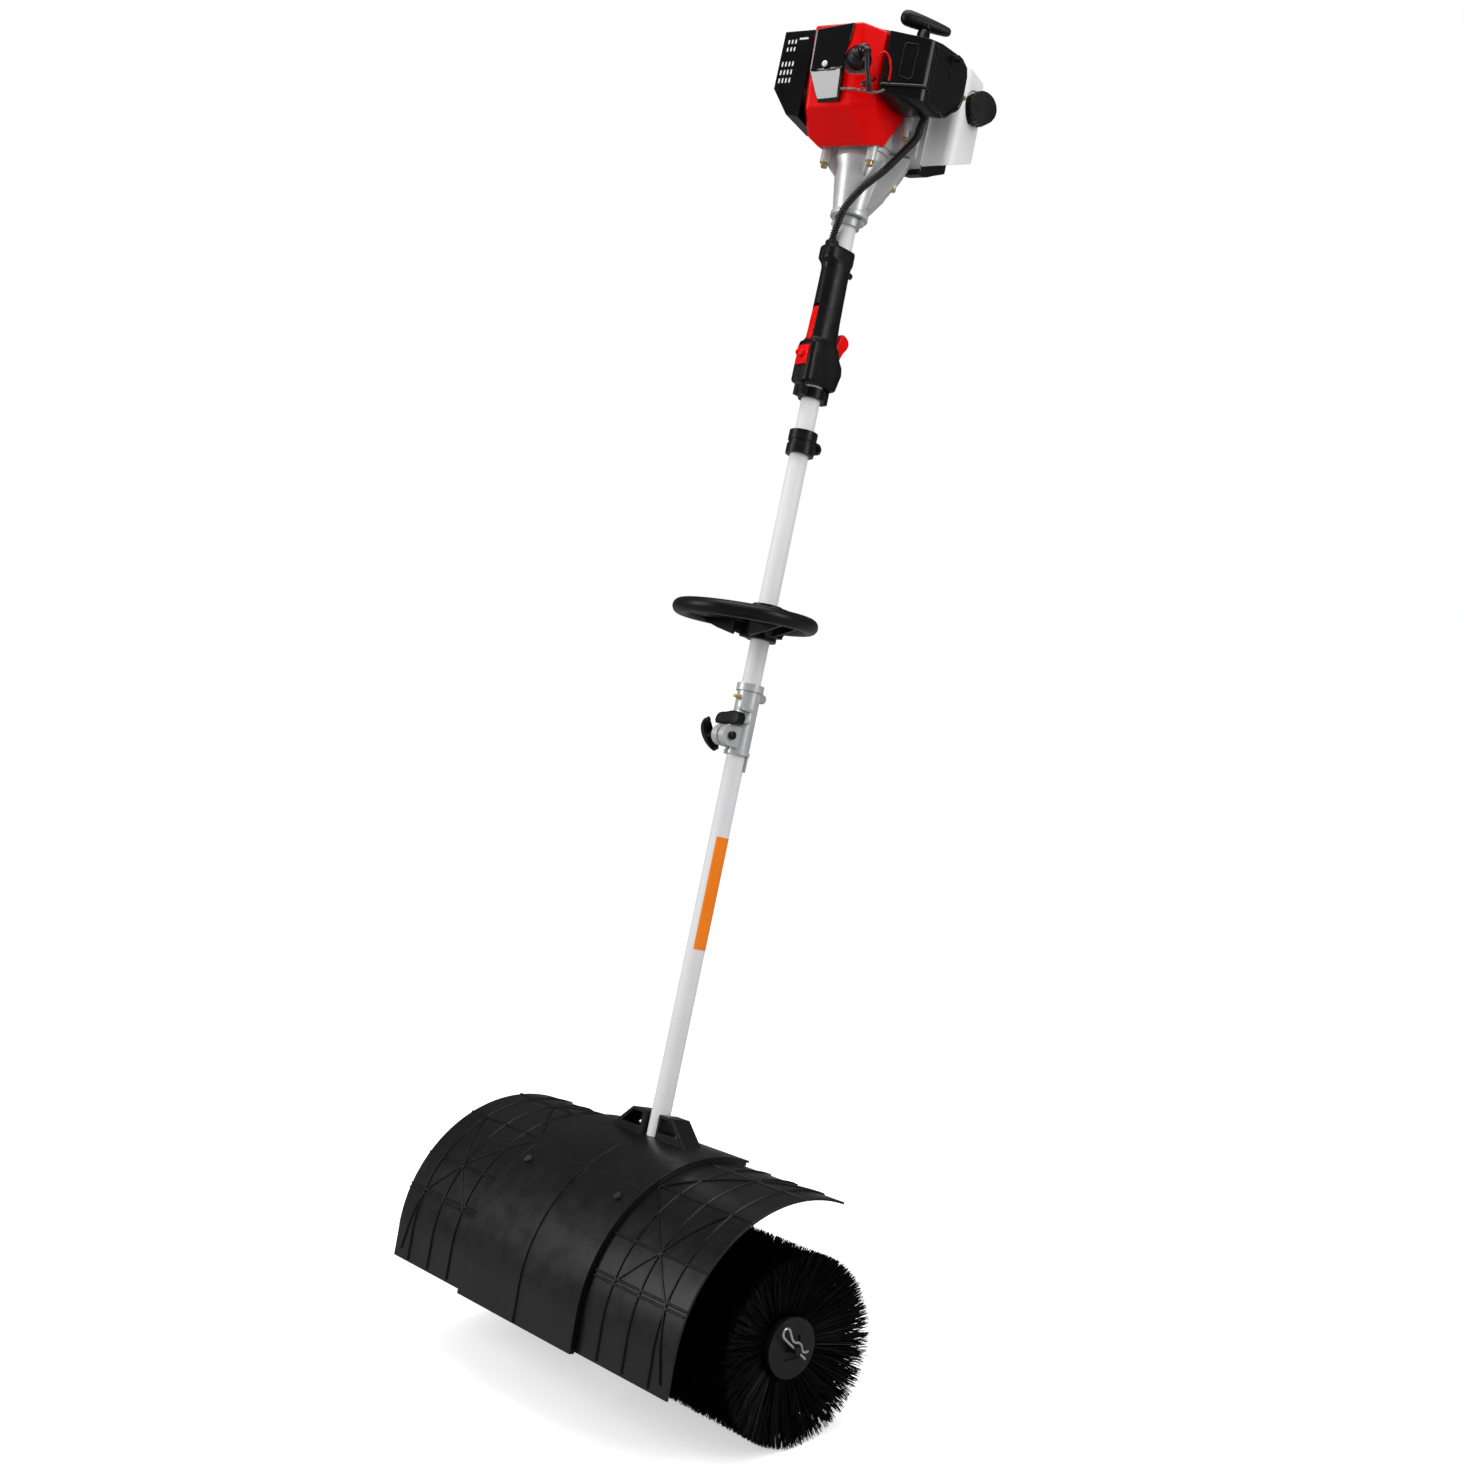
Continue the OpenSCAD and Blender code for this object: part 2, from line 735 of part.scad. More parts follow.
// Raised centre cover of the guard, with its seam rib and the gussets beside the tube
module guard_centre() {
  half = cover_w / 2;
  gusset_y = 15;
  foot_z = sqrt(pow(cover_r - guard_wall, 2) - pow(gear_centres, 2)) - 8;
  color([0.1, 0.1, 0.11])
    difference() {
      union() {
        arc_wall(cover_r, guard_wall, -half, half, -guard_back + 1, guard_front);
        at_guard(guard_front)
          translate([lap - half, -guard_skirt - 2, cover_r - guard_wall + lap])
            cube([cover_w - 2 * lap, guard_skirt + 4, guard_wall - 2 * lap]);
        both_sides()
          arc_wall(cover_r - 1, cover_step - 1 - seat_gap,
            half - guard_wall, half - lap, -guard_back + 2, guard_front - 0.5);
        at_guard(guard_front)
          both_sides()
            translate([half - guard_wall + lap, -guard_skirt - 2, guard_r + seat_gap + lap])
              cube([guard_wall - 3 * lap, guard_skirt + 4, cover_step - 1 - seat_gap - lap]);
        arc_wall(cover_r + 2, 3, -5, 5, 8, guard_front - 1);
        at_guard(guard_front)
          translate([lap - 5, -guard_skirt - 1, cover_r - 1 + lap])
            cube([10 - 2 * lap, guard_skirt + 7, 3 - 2 * lap]);
        at_guard(screw_angle)
          both_sides()
            translate([screw_x, 0, guard_r + seat_gap])
              cylinder(r = post_r, h = cover_step - guard_wall);
        on_shaft(foot_z)
          both_sides()
            translate([0, gusset_y, 0])
              rotate([90, 0, 0])
                linear_extrude(2 * gusset_y)
                  difference() {
                    polygon([
                      [tube_r + 2, 0], [tube_r + fin_len, 0],
                      [tube_r + fin_len - 12, 8], [tube_r + 28, fin_h + 8],
                      [tube_r + 2, fin_h + 8]]);
                    polygon([
                      [tube_r + 6, 13], [tube_r + 46, 13],
                      [tube_r + 26, fin_h + 4], [tube_r + 6, fin_h + 4]]);
                  }
      }
      on_shaft(foot_z - 40) cylinder(r = tube_r + 1, h = 120);
      on_shaft(foot_z - 40)
        translate([-tube_r - 1 + lap, 0, 0]) cube([2 * (tube_r + 1 - lap), 150, 120]);
      translate([0, guard_y, guard_z])
        rotate([0, 90, 0]) cylinder(r = cover_r - guard_wall - lap, h = 2 * wing_from, center = true);
      at_guard(screw_angle)
        both_sides() translate([screw_x, 0, guard_r - 10]) cylinder(r = bolt_r + fit_gap, h = 40);
      both_sides() arc_wall(cover_r + 1, 1.8, 8, half - 10, band_angles[0], band_angles[1]);
    }
}

// Screws of the guard, through cover and wing into the bracket's posts
module guard_screws() {
  color("dimgray") at_guard(screw_angle)
      both_sides()
        translate([screw_x, 0, 0]) {
          translate([0, 0, guard_r - guard_wall - post_len + 2])
            cylinder(r = bolt_r, h = cover_r - guard_r + guard_wall + post_len);
          translate([0, 0, cover_r + seat_gap / 2]) cylinder(r = bolt_head_r + 0.5, h = 3);
        }
}

// Upper tube of the shaft, from the coupler into the clutch housing
module upper_tube() {
  color("gainsboro") on_shaft(joint_top + 2) pipe(tube_r, tube_bore_r, upper_top - joint_top - 2);
}

// Upper drive shaft, with the square socket at its lower end
module upper_drive_shaft() {
  hole = drive_square + 4 * run_gap;
  color("silver") on_shaft(socket_at)
      difference() {
        union() {
          cylinder(r = socket_r, h = socket_len);
          cylinder(r = drive_r, h = engine_at - drum_r / 2 - 6 - socket_at);
        }
        translate([-hole / 2, -hole / 2, -1]) cube([hole, hole, socket_depth + 1]);
      }
}

// Clutch drum: a steel cup on the upper drive shaft
module clutch_drum() {
  hub = 14;
  color("slategray") on_engine(-drum_r / 2 - 9)
      difference() {
        cylinder(r = drum_r, h = drum_r / 2 + 12);
        translate([0, 0, 4]) cylinder(r = drum_r - drum_wall, h = drum_r);
        translate([0, 0, -1]) cylinder(r = drive_r + fit_gap, h = hub);
      }
}

// Coupler: a split aluminium sleeve that clamps the lower tube
module shaft_coupler() {
  collar_h = 10;
  slit = 3;
  lug_t = 4;
  color("silver") on_shaft(coupler_at)
      difference() {
        union() {
          cylinder(r = coupler_r, h = coupler_len);
          translate([0, 0, coupler_len - collar_h]) cylinder(r = coupler_r + 2.5, h = collar_h);
          cylinder(r = coupler_r + 1.5, h = 5);
          translate([-ear_half, -ear_y, ear_z - 14]) cube([2 * ear_half, ear_y, 28]);
          translate([0, -ear_y, ear_z]) cross_rod(14, ear_half);
          for (z = [catch_z - catch_w / 2 - slot_gap - lug_t, catch_z + catch_w / 2 + slot_gap])
            translate([catch_x, -catch_y, z]) {
              cylinder(r = 5.5, h = lug_t);
              translate([-5.5, 0, 0]) cube([11, catch_y - 4, lug_t]);
            }
          translate([catch_x, -catch_y, catch_z - catch_w]) cylinder(r = pin_r, h = 2 * catch_w);
          rotate([0, 0, 40]) translate([coupler_r - 2.5, -3, -18]) cube([2.5, 6, 22]);
          rotate([0, 0, 40])
            translate([coupler_r - 2.5, 0, -18]) rotate([0, 90, 0]) cylinder(r = 3, h = 2.5);
          rotate([0, 0, 50])
            translate([coupler_r + 2, 0, coupler_len - 16])
              rotate([0, 90, 90]) cylinder(r = 6, h = 10, center = true);
        }
        translate([0, 0, -30]) cylinder(r = tube_r + run_gap, h = coupler_len + 60);
        translate([-slit / 2, -2 * ear_y, -1]) cube([slit, 2 * ear_y, ear_z + 18]);
        translate([0, -ear_y, ear_z]) cross_rod(3 + run_gap, ear_half + 2);
        translate([0, -coupler_r, catch_z])
          rotate([90, 0, 0]) cylinder(r = 4.5, h = 12, center = true);
        translate([0, 0, coupler_len - 20]) rotate([90, 0, 0]) cylinder(r = bolt_r + fit_gap, h = 40);
      }
}

// Brass locating screw of the coupler
module coupler_screw() {
  color("goldenrod") on_shaft(coupler_at + coupler_len - 20)
      rotate([90, 0, 0]) {
        translate([0, 0, tube_r + seat_gap]) cylinder(r = bolt_r, h = coupler_r - tube_r + 3);
        translate([0, 0, coupler_r + seat_gap]) cylinder(r = 4, h = 3, $fn = 6);
        translate([0, 0, coupler_r + 3]) cylinder(r = 2, h = 6);
      }
}

// Clamp knob: a crescent grip on the bolt through the coupler's ears
module clamp_knob() {
  bar_r = 26;
  color([0.1, 0.1, 0.1])
    on_shaft(coupler_at + ear_z)
      translate([0, -ear_y, 0]) {
        cross_rod(3, ear_half + 1);
        translate([ear_half + seat_gap, 0, 0]) rotate([0, 90, 0]) cylinder(r = 5.5, h = 5, $fn = 6);
        translate([-knob_x, 0, 0])
          rotate([0, 90, 0]) cylinder(r = 6.5, h = knob_x - ear_half - seat_gap);
        translate([bar_r - knob_x - 6, 6, 0])
          rotate([90, 0, 0])
            rotate([0, 0, 180 - 52])
              rotate_extrude(angle = 104)
                translate([bar_r - 9, 0]) square([9, 12]);
      }
}

// Release catch: a plastic lever on a pin
module release_catch() {
  arm = 7;
  nose_to = tube_r + seat_gap + 0.1;
  color([0.1, 0.1, 0.1])
    on_shaft(coupler_at + catch_z)
      difference() {
        union() {
          translate([catch_x, -catch_y, 0]) cylinder(r = 5, h = catch_w, center = true);
          translate([-24, -catch_y - arm / 2 - 2, -catch_w / 2]) cube([24 + catch_x, arm, catch_w]);
          translate([-24, -catch_y - arm / 2 - 6, -catch_w / 2]) cube([10, arm + 4, catch_w]);
          translate([0, -nose_to, 0]) rotate([90, 0, 0]) cylinder(r = 2, h = catch_y - nose_to);
        }
        translate([catch_x, -catch_y, 0])
          cylinder(r = pin_r + run_gap, h = catch_w + 2, center = true);
      }
}

// Loop handle: a round ring on two webs from the front half of its hub
module loop_handle() {
  web_t = 7;
  rib_z = 22;
  color([0.09, 0.09, 0.09])
    on_shaft(loop_at)
      difference() {
        union() {
          translate([0, -loop_ahead, 0])
            rotate_extrude()
              translate([loop_r, 0]) circle(d = loop_bar_d);
          both_sides() {
            translate([0, 0, -web_t / 2])
              linear_extrude(web_t)
                polygon([
                  [hub_r - 4, -38], [loop_r - 20, -loop_ahead - 44],
                  [loop_r - 4, -seat_gap], [hub_r - 4, -seat_gap]]);
            translate([0, -12, 0])
              rotate([90, 0, 0])
                linear_extrude(4)
                  polygon([
                    [hub_r - 4, 0], [hub_r - 4, -rib_z], [loop_r - 8, -8], [loop_r - 8, 0]]);
          }
          intersection() {
            cylinder(r = hub_r, h = 2 * hub_half, center = true);
            translate([-hub_r, -2 * hub_r - seat_gap / 2, -hub_half])
              cube([2 * hub_r, 2 * hub_r, 2 * hub_half]);
          }
          translate([-hub_wing, -10, -hub_half + 4])
            cube([2 * hub_wing, 10 - seat_gap / 2, 2 * hub_half - 8]);
        }
        cylinder(r = tube_r + fit_gap, h = 4 * hub_half, center = true);
        for (sx = [-1, 1], sz = [-1, 1])
          translate([sx * hub_screw_x, -20, sz * hub_screw_z])
            rotate([-90, 0, 0]) cylinder(r = bolt_r + fit_gap, h = 40);
      }
}

// Rear half of the loop handle's hub
module loop_handle_cap() {
  color([0.09, 0.09, 0.09])
    on_shaft(loop_at)
      difference() {
        union() {
          intersection() {
            cylinder(r = hub_r, h = 2 * hub_half, center = true);
            translate([-hub_r, seat_gap / 2, -hub_half]) cube([2 * hub_r, 2 * hub_r, 2 * hub_half]);
          }
          translate([-hub_wing, seat_gap / 2, -hub_half + 4])
            cube([2 * hub_wing, 8, 2 * hub_half - 8]);
        }
        cylinder(r = tube_r + fit_gap, h = 4 * hub_half, center = true);
        for (sx = [-1, 1], sz = [-1, 1])
          translate([sx * hub_screw_x, -20, sz * hub_screw_z])
            rotate([-90, 0, 0]) cylinder(r = bolt_r + fit_gap, h = 40);
      }
}

// Dark screws of the loop handle, of the grip and of the cover panel
module small_screws() {
  grip_screws();
  panel_screw();
  color("dimgray") on_shaft(loop_at)
      for (sx = [-1, 1], sz = [-1, 1])
        translate([sx * hub_screw_x, -9, sz * hub_screw_z])
          rotate([-90, 0, 0]) {
            cylinder(r = bolt_r, h = 18 + seat_gap);
            translate([0, 0, 17 + seat_gap / 2]) cylinder(r = bolt_head_r, h = bolt_head_h);
          }
}

// Harness collar: two bands round the tube and an ear with an eye
module harness_collar() {
  band = 13;
  ear_r = 8;
  color([0.09, 0.09, 0.09])
    on_shaft(hanger_at)
      difference() {
        union() {
          cylinder(r = hanger_r, h = hanger_len);
          cylinder(r = hanger_r + 1.5, h = band);
          translate([0, 0, hanger_len - band]) cylinder(r = hanger_r + 1.5, h = band);
          translate([0, eye_y, hanger_len / 2]) cross_rod(ear_r, 6);
          translate([-6, 0, hanger_len / 2 - ear_r]) cube([12, eye_y, 2 * ear_r]);
        }
        translate([0, 0, -1]) cylinder(r = tube_r + fit_gap, h = hanger_len + 2);
        translate([0, eye_y, hanger_len / 2]) cross_rod(eye_d / 2, 10);
      }
}

// Throttle grip before it is split: barrel, head and switch box
module grip_body() {
  head = 20;
  box_h = 58;
  nose_r = 13;
  difference() {
    union() {
      linear_extrude(grip_len) stadium(grip_r, grip_deep - grip_r);
      translate([0, -5, grip_len - head])
        linear_extrude(head) stadium(grip_r, grip_deep - grip_r + 5);
      translate([-grip_r + 3, -switch_box_y, 0]) cube([2 * grip_r - 6, switch_box_y, box_h]);
      translate([0, grip_deep + 8, nose_r + 4]) cross_rod(nose_r, grip_r - 4);
      translate([-grip_r + 4, 0, 2]) cube([2 * grip_r - 8, grip_deep + 8, 2 * nose_r + 2]);
      translate([0, -20, grip_len - 1]) cylinder(d = conduit_d + 7, h = 9);
    }
    translate([0, 0, -1]) cylinder(r = tube_r + fit_gap, h = grip_len + 20);
    translate([0, -20, grip_len - 5]) cylinder(d = conduit_d + 2 * seat_gap, h = 20);
    translate([-trigger_w / 2 - slot_gap, tube_r + 2, trigger_z - 9])
      cube([trigger_w + 2 * slot_gap, 60, 64]);
    translate([-lever_w / 2 - slot_gap, -50, lever_z - 50])
      cube([lever_w + 2 * slot_gap, 50 - tube_r - 2.5, 58]);
    translate([-8 - slot_gap, -switch_box_y - 1, 22]) cube([16 + 2 * slot_gap, 10, 32]);
    translate([-grip_r, -22, 45]) cross_rod(4 + run_gap, 14);
  }
}

// One shell of the throttle grip, split along the shaft
module grip_shell(side) {
  reach = 100;
  color([0.08, 0.08, 0.08])
    on_shaft(grip_at)
      difference() {
        intersection() {
          grip_body();
          translate([side > 0 ? 0 : -reach, -reach, -reach]) cube([reach, 2 * reach, 4 * reach]);
        }
        for (p = grip_screw_places)
          translate([0, p[0], p[1]]) cross_rod(1.5 + fit_gap, reach);
        if (side < 0)
          for (p = [[trigger_y, trigger_z], [-lever_y, lever_z]])
            translate([0, p[0], p[1]]) cross_rod(pin_r + fit_gap, trigger_w + 3);
      }
  if (side > 0)
    color([0.08, 0.08, 0.08])
      on_shaft(grip_at) {
        translate([0, trigger_y, trigger_z]) cross_rod(pin_r, trigger_w + 1);
        translate([0, -lever_y, lever_z]) cross_rod(pin_r, trigger_w + 1);
      }
}
grip_screw_places = [[grip_deep + 8, 17], [-28, 10], [-17, grip_len - 26]];

module grip_left() {
  grip_shell(1);
}

module grip_right() {
  grip_shell(-1);
}

// Clamp ring under the grip, with its ear in front
module grip_clamp() {
  ring_h = 14;
  color([0.09, 0.09, 0.09])
    on_shaft(grip_at - ring_h - 4)
      difference() {
        union() {
          cylinder(r = tube_r + 5, h = ring_h);
          translate([-8, -tube_r - 14, 0]) cube([16, 14, ring_h]);
          translate([-6, tube_r, 0]) cube([12, 12, ring_h + 4]);
        }
        translate([0, 0, -1]) cylinder(r = tube_r + fit_gap, h = ring_h + 6);
        translate([-1, -tube_r - 20, -1]) cube([2, 20, ring_h + 2]);
      }
}

// Screws of the grip shells, of the clamp ring and of the grip's head
module grip_screws() {
  color("dimgray") on_shaft(grip_at) {
      for (p = grip_screw_places)
        translate([0, p[0], p[1]]) {
          cross_rod(1.5, 12);
        }
      translate([0, grip_deep + 3, grip_len - 26])
        rotate([90, 0, 0]) cylinder(r = 4, h = 3 - seat_gap);
    }
}

// Throttle trigger: a red finger lever on a pin at the nose of the grip
module throttle_trigger() {
  color("red") on_shaft(grip_at + trigger_z)
      translate([-trigger_w / 2, trigger_y, 0])
        rotate([90, 0, 90])
          linear_extrude(trigger_w)
            difference() {
              union() {
                circle(r = 5.5);
                polygon([[-4.5, 0], [2, -4.5], [13, 1], [19, 16], [28, 28], [30, 33], [27, 37], [18, 39],
                  [10, 44], [4, 44]]);
              }
              circle(r = pin_r + run_gap);
            }
}

// Lock-out lever: a red bar on the back of the grip that the palm presses in
module lockout_lever() {
  color("red") on_shaft(grip_at + lever_z)
      translate([-lever_w / 2, -lever_y, 0])
        rotate([90, 0, 90])
          linear_extrude(lever_w)
            difference() {
              union() {
                circle(r = 3.5);
                polygon([[-3.5, 0], [0, 3], [-4, 3], [-7, -4], [-8, -34], [-6, -44], [-2, -44],
                  [-2, -12], [2, -2.5]]);
              }
              circle(r = pin_r + run_gap);
            }
}

// Stop switch: a red slider in the face of the switch box
module stop_switch() {
  color("orangered") on_shaft(grip_at)
      difference() {
        translate([-8, -switch_box_y - 4, 24]) cube([16, 12.7, 24]);
        translate([-9, -switch_box_y - 5, 35]) cube([18, 2.5, 5]);
      }
}

// Button on the side of the switch box that holds the throttle part open
module throttle_lock_button() {
  color("red") on_shaft(grip_at)
      translate([-grip_r + 3, -22, 45])
        rotate([0, 90, 0]) translate([0, 0, -7]) cylinder(r = 4, h = 14);
}

// Corrugated conduit with its bore
module throttle_conduit() {
  sides = 8;
  base = curve(conduit_route, 6);
  count = len(base) - 1;
  rings = 2 * conduit_ribs;
  path = [for (i = [0 : rings])
    let (at = i * count / rings, k = min(floor(at), count - 1))
    base[k] + (base[k + 1] - base[k]) * (at - k)];
  outer = [for (i = [0 : rings])
    each ring_points(path[i], heading(path, i), [1, 1, 0], conduit_d / 2 - (i % 2 == 0 ? 0 : 1.2), sides)];
  bore = [for (i = [0 : 3 : rings])
    each ring_points(path[i] + heading(path, i) * (i == 0 ? -2 : i == rings ? 2 : 0), heading(path, i),
      [1, 1, 0], conduit_d / 2 - 2.6, sides)];
  color([0.07, 0.07, 0.07])
    on_shaft()
      difference() {
        polyhedron(points = outer, faces = tube_faces(rings + 1, sides), convexity = 8);
        polyhedron(points = bore, faces = tube_faces(rings / 3 + 1, sides), convexity = 8);
      }
}

// Aluminium clamp ring on the tube under the clutch housing
module tube_clamp() {
  color("silver") on_engine(-bell_len - 13)
      difference() {
        union() {
          cylinder(r = tube_r + 4, h = 12);
          for (side = [-1, 1])
            translate([side * (tube_r + 6), 0, 6])
              rotate([90, 0, 0]) cylinder(r = 5, h = 8, center = true);
          translate([-tube_r - 6, -4, 1]) cube([2 * tube_r + 12, 8, 10]);
        }
        translate([0, 0, -1]) cylinder(r = tube_r + fit_gap, h = 14);
      }
}

// Corners of the clutch housing's bolts
bell_corners = [for (sx = [-1, 1], sy = [-1, 1]) [sx * bell_bolt, sy * bell_bolt]];

// Clutch housing: a cast cone with four bolt posts
module clutch_housing() {
  mouth_r = tube_r + 11;
  seat_z = upper_top - engine_at;
  color("silver") on_engine()
      difference() {
        union() {
          rotate_extrude()
            polygon([
              [0, -bell_len], [mouth_r + 2, -bell_len], [mouth_r + 2, -bell_len + 6],
              [mouth_r, -bell_len + 8], [bell_r - 4, -34], [bell_r, -24],
              [bell_r, flange_z + flange_t], [0, flange_z + flange_t]]);
          for (p = bell_corners)
            translate([p[0], p[1], post_z]) cylinder(r = lug_r, h = flange_z + flange_t - post_z);
          translate([0, 0, flange_z])
            linear_extrude(flange_t) {
              circle(r = bell_r + 3);
              for (p = bell_corners)
                translate(p) circle(r = lug_r + 2);
              square(2 * bell_bolt, center = true);
            }
          for (angle = [135 : 90 : 315])
            rotate([0, 0, angle])
              rotate([90, 0, 0])
                linear_extrude(5, center = true)
                  polygon([
                    [mouth_r - 6, 40 - bell_len], [bell_bolt * 1.41, post_z + 4],
                    [bell_bolt * 1.41, -8], [mouth_r - 6, -8]]);
          rotate([0, 0, 30])
            rotate([90, 0, 0])
              linear_extrude(30, center = true)
                polygon([
                  [10, 14 - bell_len], [mouth_r + 1, 14 - bell_len], [36, -72], [47, -55],
                  [60, -28], [66, -12], [66, flange_z + 5], [10, flange_z + 5]]);
        }
        translate([0, 0, -bell_len - 1]) cylinder(r = tube_r + fit_gap, h = seat_z + bell_len + 1);
        translate([0, 0, -bell_len - 1]) cylinder(r = tube_r + 6, h = 11);
        translate([0, 0, seat_z - 1])
          cylinder(r = worm_bearing_r + fit_gap, h = bearing_w + 1 + seat_gap);
        translate([0, 0, -bell_len]) cylinder(r = drive_r + 2, h = bell_len + 10);
        translate([0, 0, -drum_r / 2 - 12]) cylinder(r = drum_r + 2, h = drum_r + 20);
        for (p = bell_corners)
          translate([p[0], p[1], post_z - 1]) cylinder(r = bolt_r + fit_gap, h = 60);
        translate([bell_bolt, bell_bolt, post_z - 40]) cylinder(r = bolt_head_r + 1, h = 40);
      }
}

// Brass-plated bolts of the clutch housing, and the coupler's screw
module brass_bolts() {
  coupler_screw();
  color("goldenrod") on_engine() {
      for (p = bell_corners)
        translate([p[0], p[1], 0]) {
          translate([0, 0, post_z - 1]) cylinder(r = bolt_r, h = 14 - post_z);
          translate([0, 0, post_z - 6 - eps]) cylinder(r = bolt_head_r, h = 6);
        }
    }
}

// Fan case: the cast housing round the flywheel, and the crankcase behind it
module fan_case() {
  base = flange_z + flange_t + eps;
  color("darkgray") on_engine()
      difference() {
        union() {
          translate([0, 0, base]) cylinder(r = fan_case_r, h = fan_case_h - base);
          intersection() {
            translate([0, 0, base]) cylinder(r = fan_case_r + 15, h = fan_case_h + 8 - base);
            translate([-80, 0, base]) cube([80 + air_x - seat_gap, 80, 80]);
          }
          for (p = bell_corners)
            translate([p[0], p[1], base]) cylinder(r = lug_r, h = 24);
          translate([0, 0, fan_case_h - 1]) cylinder(r = 40, h = case_end - fan_case_h + 1);
          translate([-36, 0, fan_case_h]) cube([72, fan_case_r + 15, case_end - fan_case_h]);
          translate([-26, -42, fan_case_h + 3]) cube([52, 42, 48]);
          intersection() {
            translate([0, 0, base]) cylinder(r = 74, h = 31 - base);
            rotate([0, 0, 14]) translate([0, 0, base]) cube([90, 90, 36]);
            translate([0, 0, base]) cube([90, fan_case_r + 14.5, 36]);
          }
        }
        translate([0, 0, base - 1]) cylinder(r = drum_r + 2, h = 10);
        translate([0, 0, 4]) cylinder(r = fan_r + 1.5, h = fan_case_h - 8);
        translate([0, 0, 0]) cylinder(r = crank_r + run_gap, h = case_end + 10);
        for (p = bell_corners)
          translate([p[0], p[1], base - 1]) cylinder(r = bolt_r + fit_gap, h = 20);
      }
}

// Fan flywheel with blades, crankshaft and clutch shoes
module fan_flywheel() {
  shoe_r = drum_r - drum_wall - 1;
  blades = 16;
  color("lightgray") on_engine() {
      difference() {
        union() {
          translate([0, 0, 24]) cylinder(r = fan_r, h = 12);
          for (k = [0 : blades - 1])
            rotate([0, 0, 360 / blades * k]) translate([fan_r - 14, -1.5, 10]) cube([14, 3, 15]);
          cylinder(r = fan_r - 18, h = 30);
          translate([0, 0, -drum_r / 2 - 3]) cylinder(r = shoe_r, h = drum_r / 2 + 4);
          cylinder(r = crank_r, h = case_end + 20);
        }
        for (angle = [0, 120, 240])
          rotate([0, 0, angle]) translate([8, -1, -drum_r / 2 - 4]) cube([drum_r, 2, drum_r / 2 + 3]);
      }
    }
}

// Cylinder with its cooling fins and the seat of the plug, on the crankcase
module engine_cylinder() {
  fins = 9;
  fin_t = 2.2;
  from = 42 + eps;
  to = 92;
  color("gray") on_engine()
      difference() {
        translate([0, 0, fan_case_h + 28]) {
          rotate([90, 0, 0]) translate([0, 0, from]) cylinder(r = 24, h = to - from);
          for (k = [0 : fins - 1])
            translate([-fin_half, -from - 6 - (to - from - 8) / (fins - 1) * k, -29])
              cube([2 * fin_half, fin_t, 58]);
        }
        at_plug() cylinder(r = 5 + fit_gap, h = 60);
        at_plug() translate([0, 0, 6]) cylinder(r = 10.5, h = 60);
        at_plug() translate([0, 0, 12]) cylinder(r = 14.5, h = 60);
      }
}
fin_half = 31;

// Puts a piece on the spark plug's axis, with Z out of the cylinder head
module at_plug() {
  translate(plug_at) rotate([0, 0, 30]) rotate([-90, 0, 180]) children();
}

// Tilt of the top of the engine cover
top_tilt = atan(20 / 102);
// Corners of the engine cover, as centres of its rounded corners
cover_high = [
  [-42, -91, 17], [20, -91, 17], [26, -111, 119], [-40, -111, 119],
  [44, -76, 32], [48, -86, 119], [-53, -78, 22], [-51, -92, 119],
];
cover_low = [[-53, -10, -2], [36, -10, -2], [52, -5, 44], [52, -5, 119], [-53, -5, 119]];
// Corners of the cover's lower edge in front of the clutch housing
cover_lip = [[-49, -62, -8], [-39, -52, -16], [33, -52, -17], [45, -32, -10]];

// Puts a piece on the top of the engine cover: Z along it, Y inwards
module on_cover() {
  on_engine()
    translate([0, -94.9, 16.2]) rotate([top_tilt, 0, 0]) children();
}

// Solid form of the engine cover, its lower edge moved down by a drop
module cover_form(radius, drop) {
  hull() {
    for (p = concat(cover_high, cover_lip))
      translate(p) sphere(r = radius, $fn = 12);
    for (p = cover_low)
      translate(p + [0, drop, 0]) sphere(r = radius, $fn = 12);
  }
}

// Engine cover: a red shell over the cylinder, open for exhaust, carburettor and plug
module cylinder_cover() {
  corner = cover_wall + 1;
  color("red") on_engine()
      difference() {
        cover_form(corner, 0);
        cover_form(1, 40);
        translate([0, 0, -30]) cylinder(r = fan_case_r + 1.5, h = 60);
        for (p = bell_corners)
          translate([p[0], p[1], -30]) cylinder(r = lug_r + 2.5, h = 55);
        translate([-70, -74, 54]) cube([30, 34, 42]);
        translate([36, -75, 52]) cube([30, 44, 46]);
        at_plug() cylinder(r = 19, h = 60);
        translate([35.5, -92.5, 45.5])
          rotate([0, 0, 39.5]) rotate([90, 0, 0]) cylinder(r = 4.4, h = 20, center = true);
        translate([43.2, -83.5, 54.6])
          rotate([0, 0, 39.5]) rotate([90, 0, 0]) cylinder(r = 4, h = 20, center = true);
        translate([0, 0, case_end]) cylinder(r = 44 + seat_gap, h = 40);
      }
}

// Gloss panel on the top of the engine cover
module cover_panel() {
  color([0.05, 0.05, 0.05])
    on_cover()
      translate([0, -seat_gap, 0])
        rotate([90, 0, 0])
          linear_extrude(3)
            difference() {
              polygon([
                [-27, 4], [6, 4], [9, 40], [7, 52], [7, 68],
                [13, 84], [17, 106], [-40, 101], [-44, 47]]);
              translate([-20, 54]) circle(r = 2.2);
            }
}

// Screw of the cover panel
module panel_screw() {
  color("dimgray")
    on_cover()
      translate([-20, -seat_gap, 54])
        rotate([90, 0, 0]) {
          cylinder(r = 2, h = 3.5);
          translate([0, 0, 3 + seat_gap / 2]) cylinder(r = 4.5, h = 2);
        }
}

// Place of the spark plug on the cylinder head
plug_at = [16, -88, fan_case_h + 28];

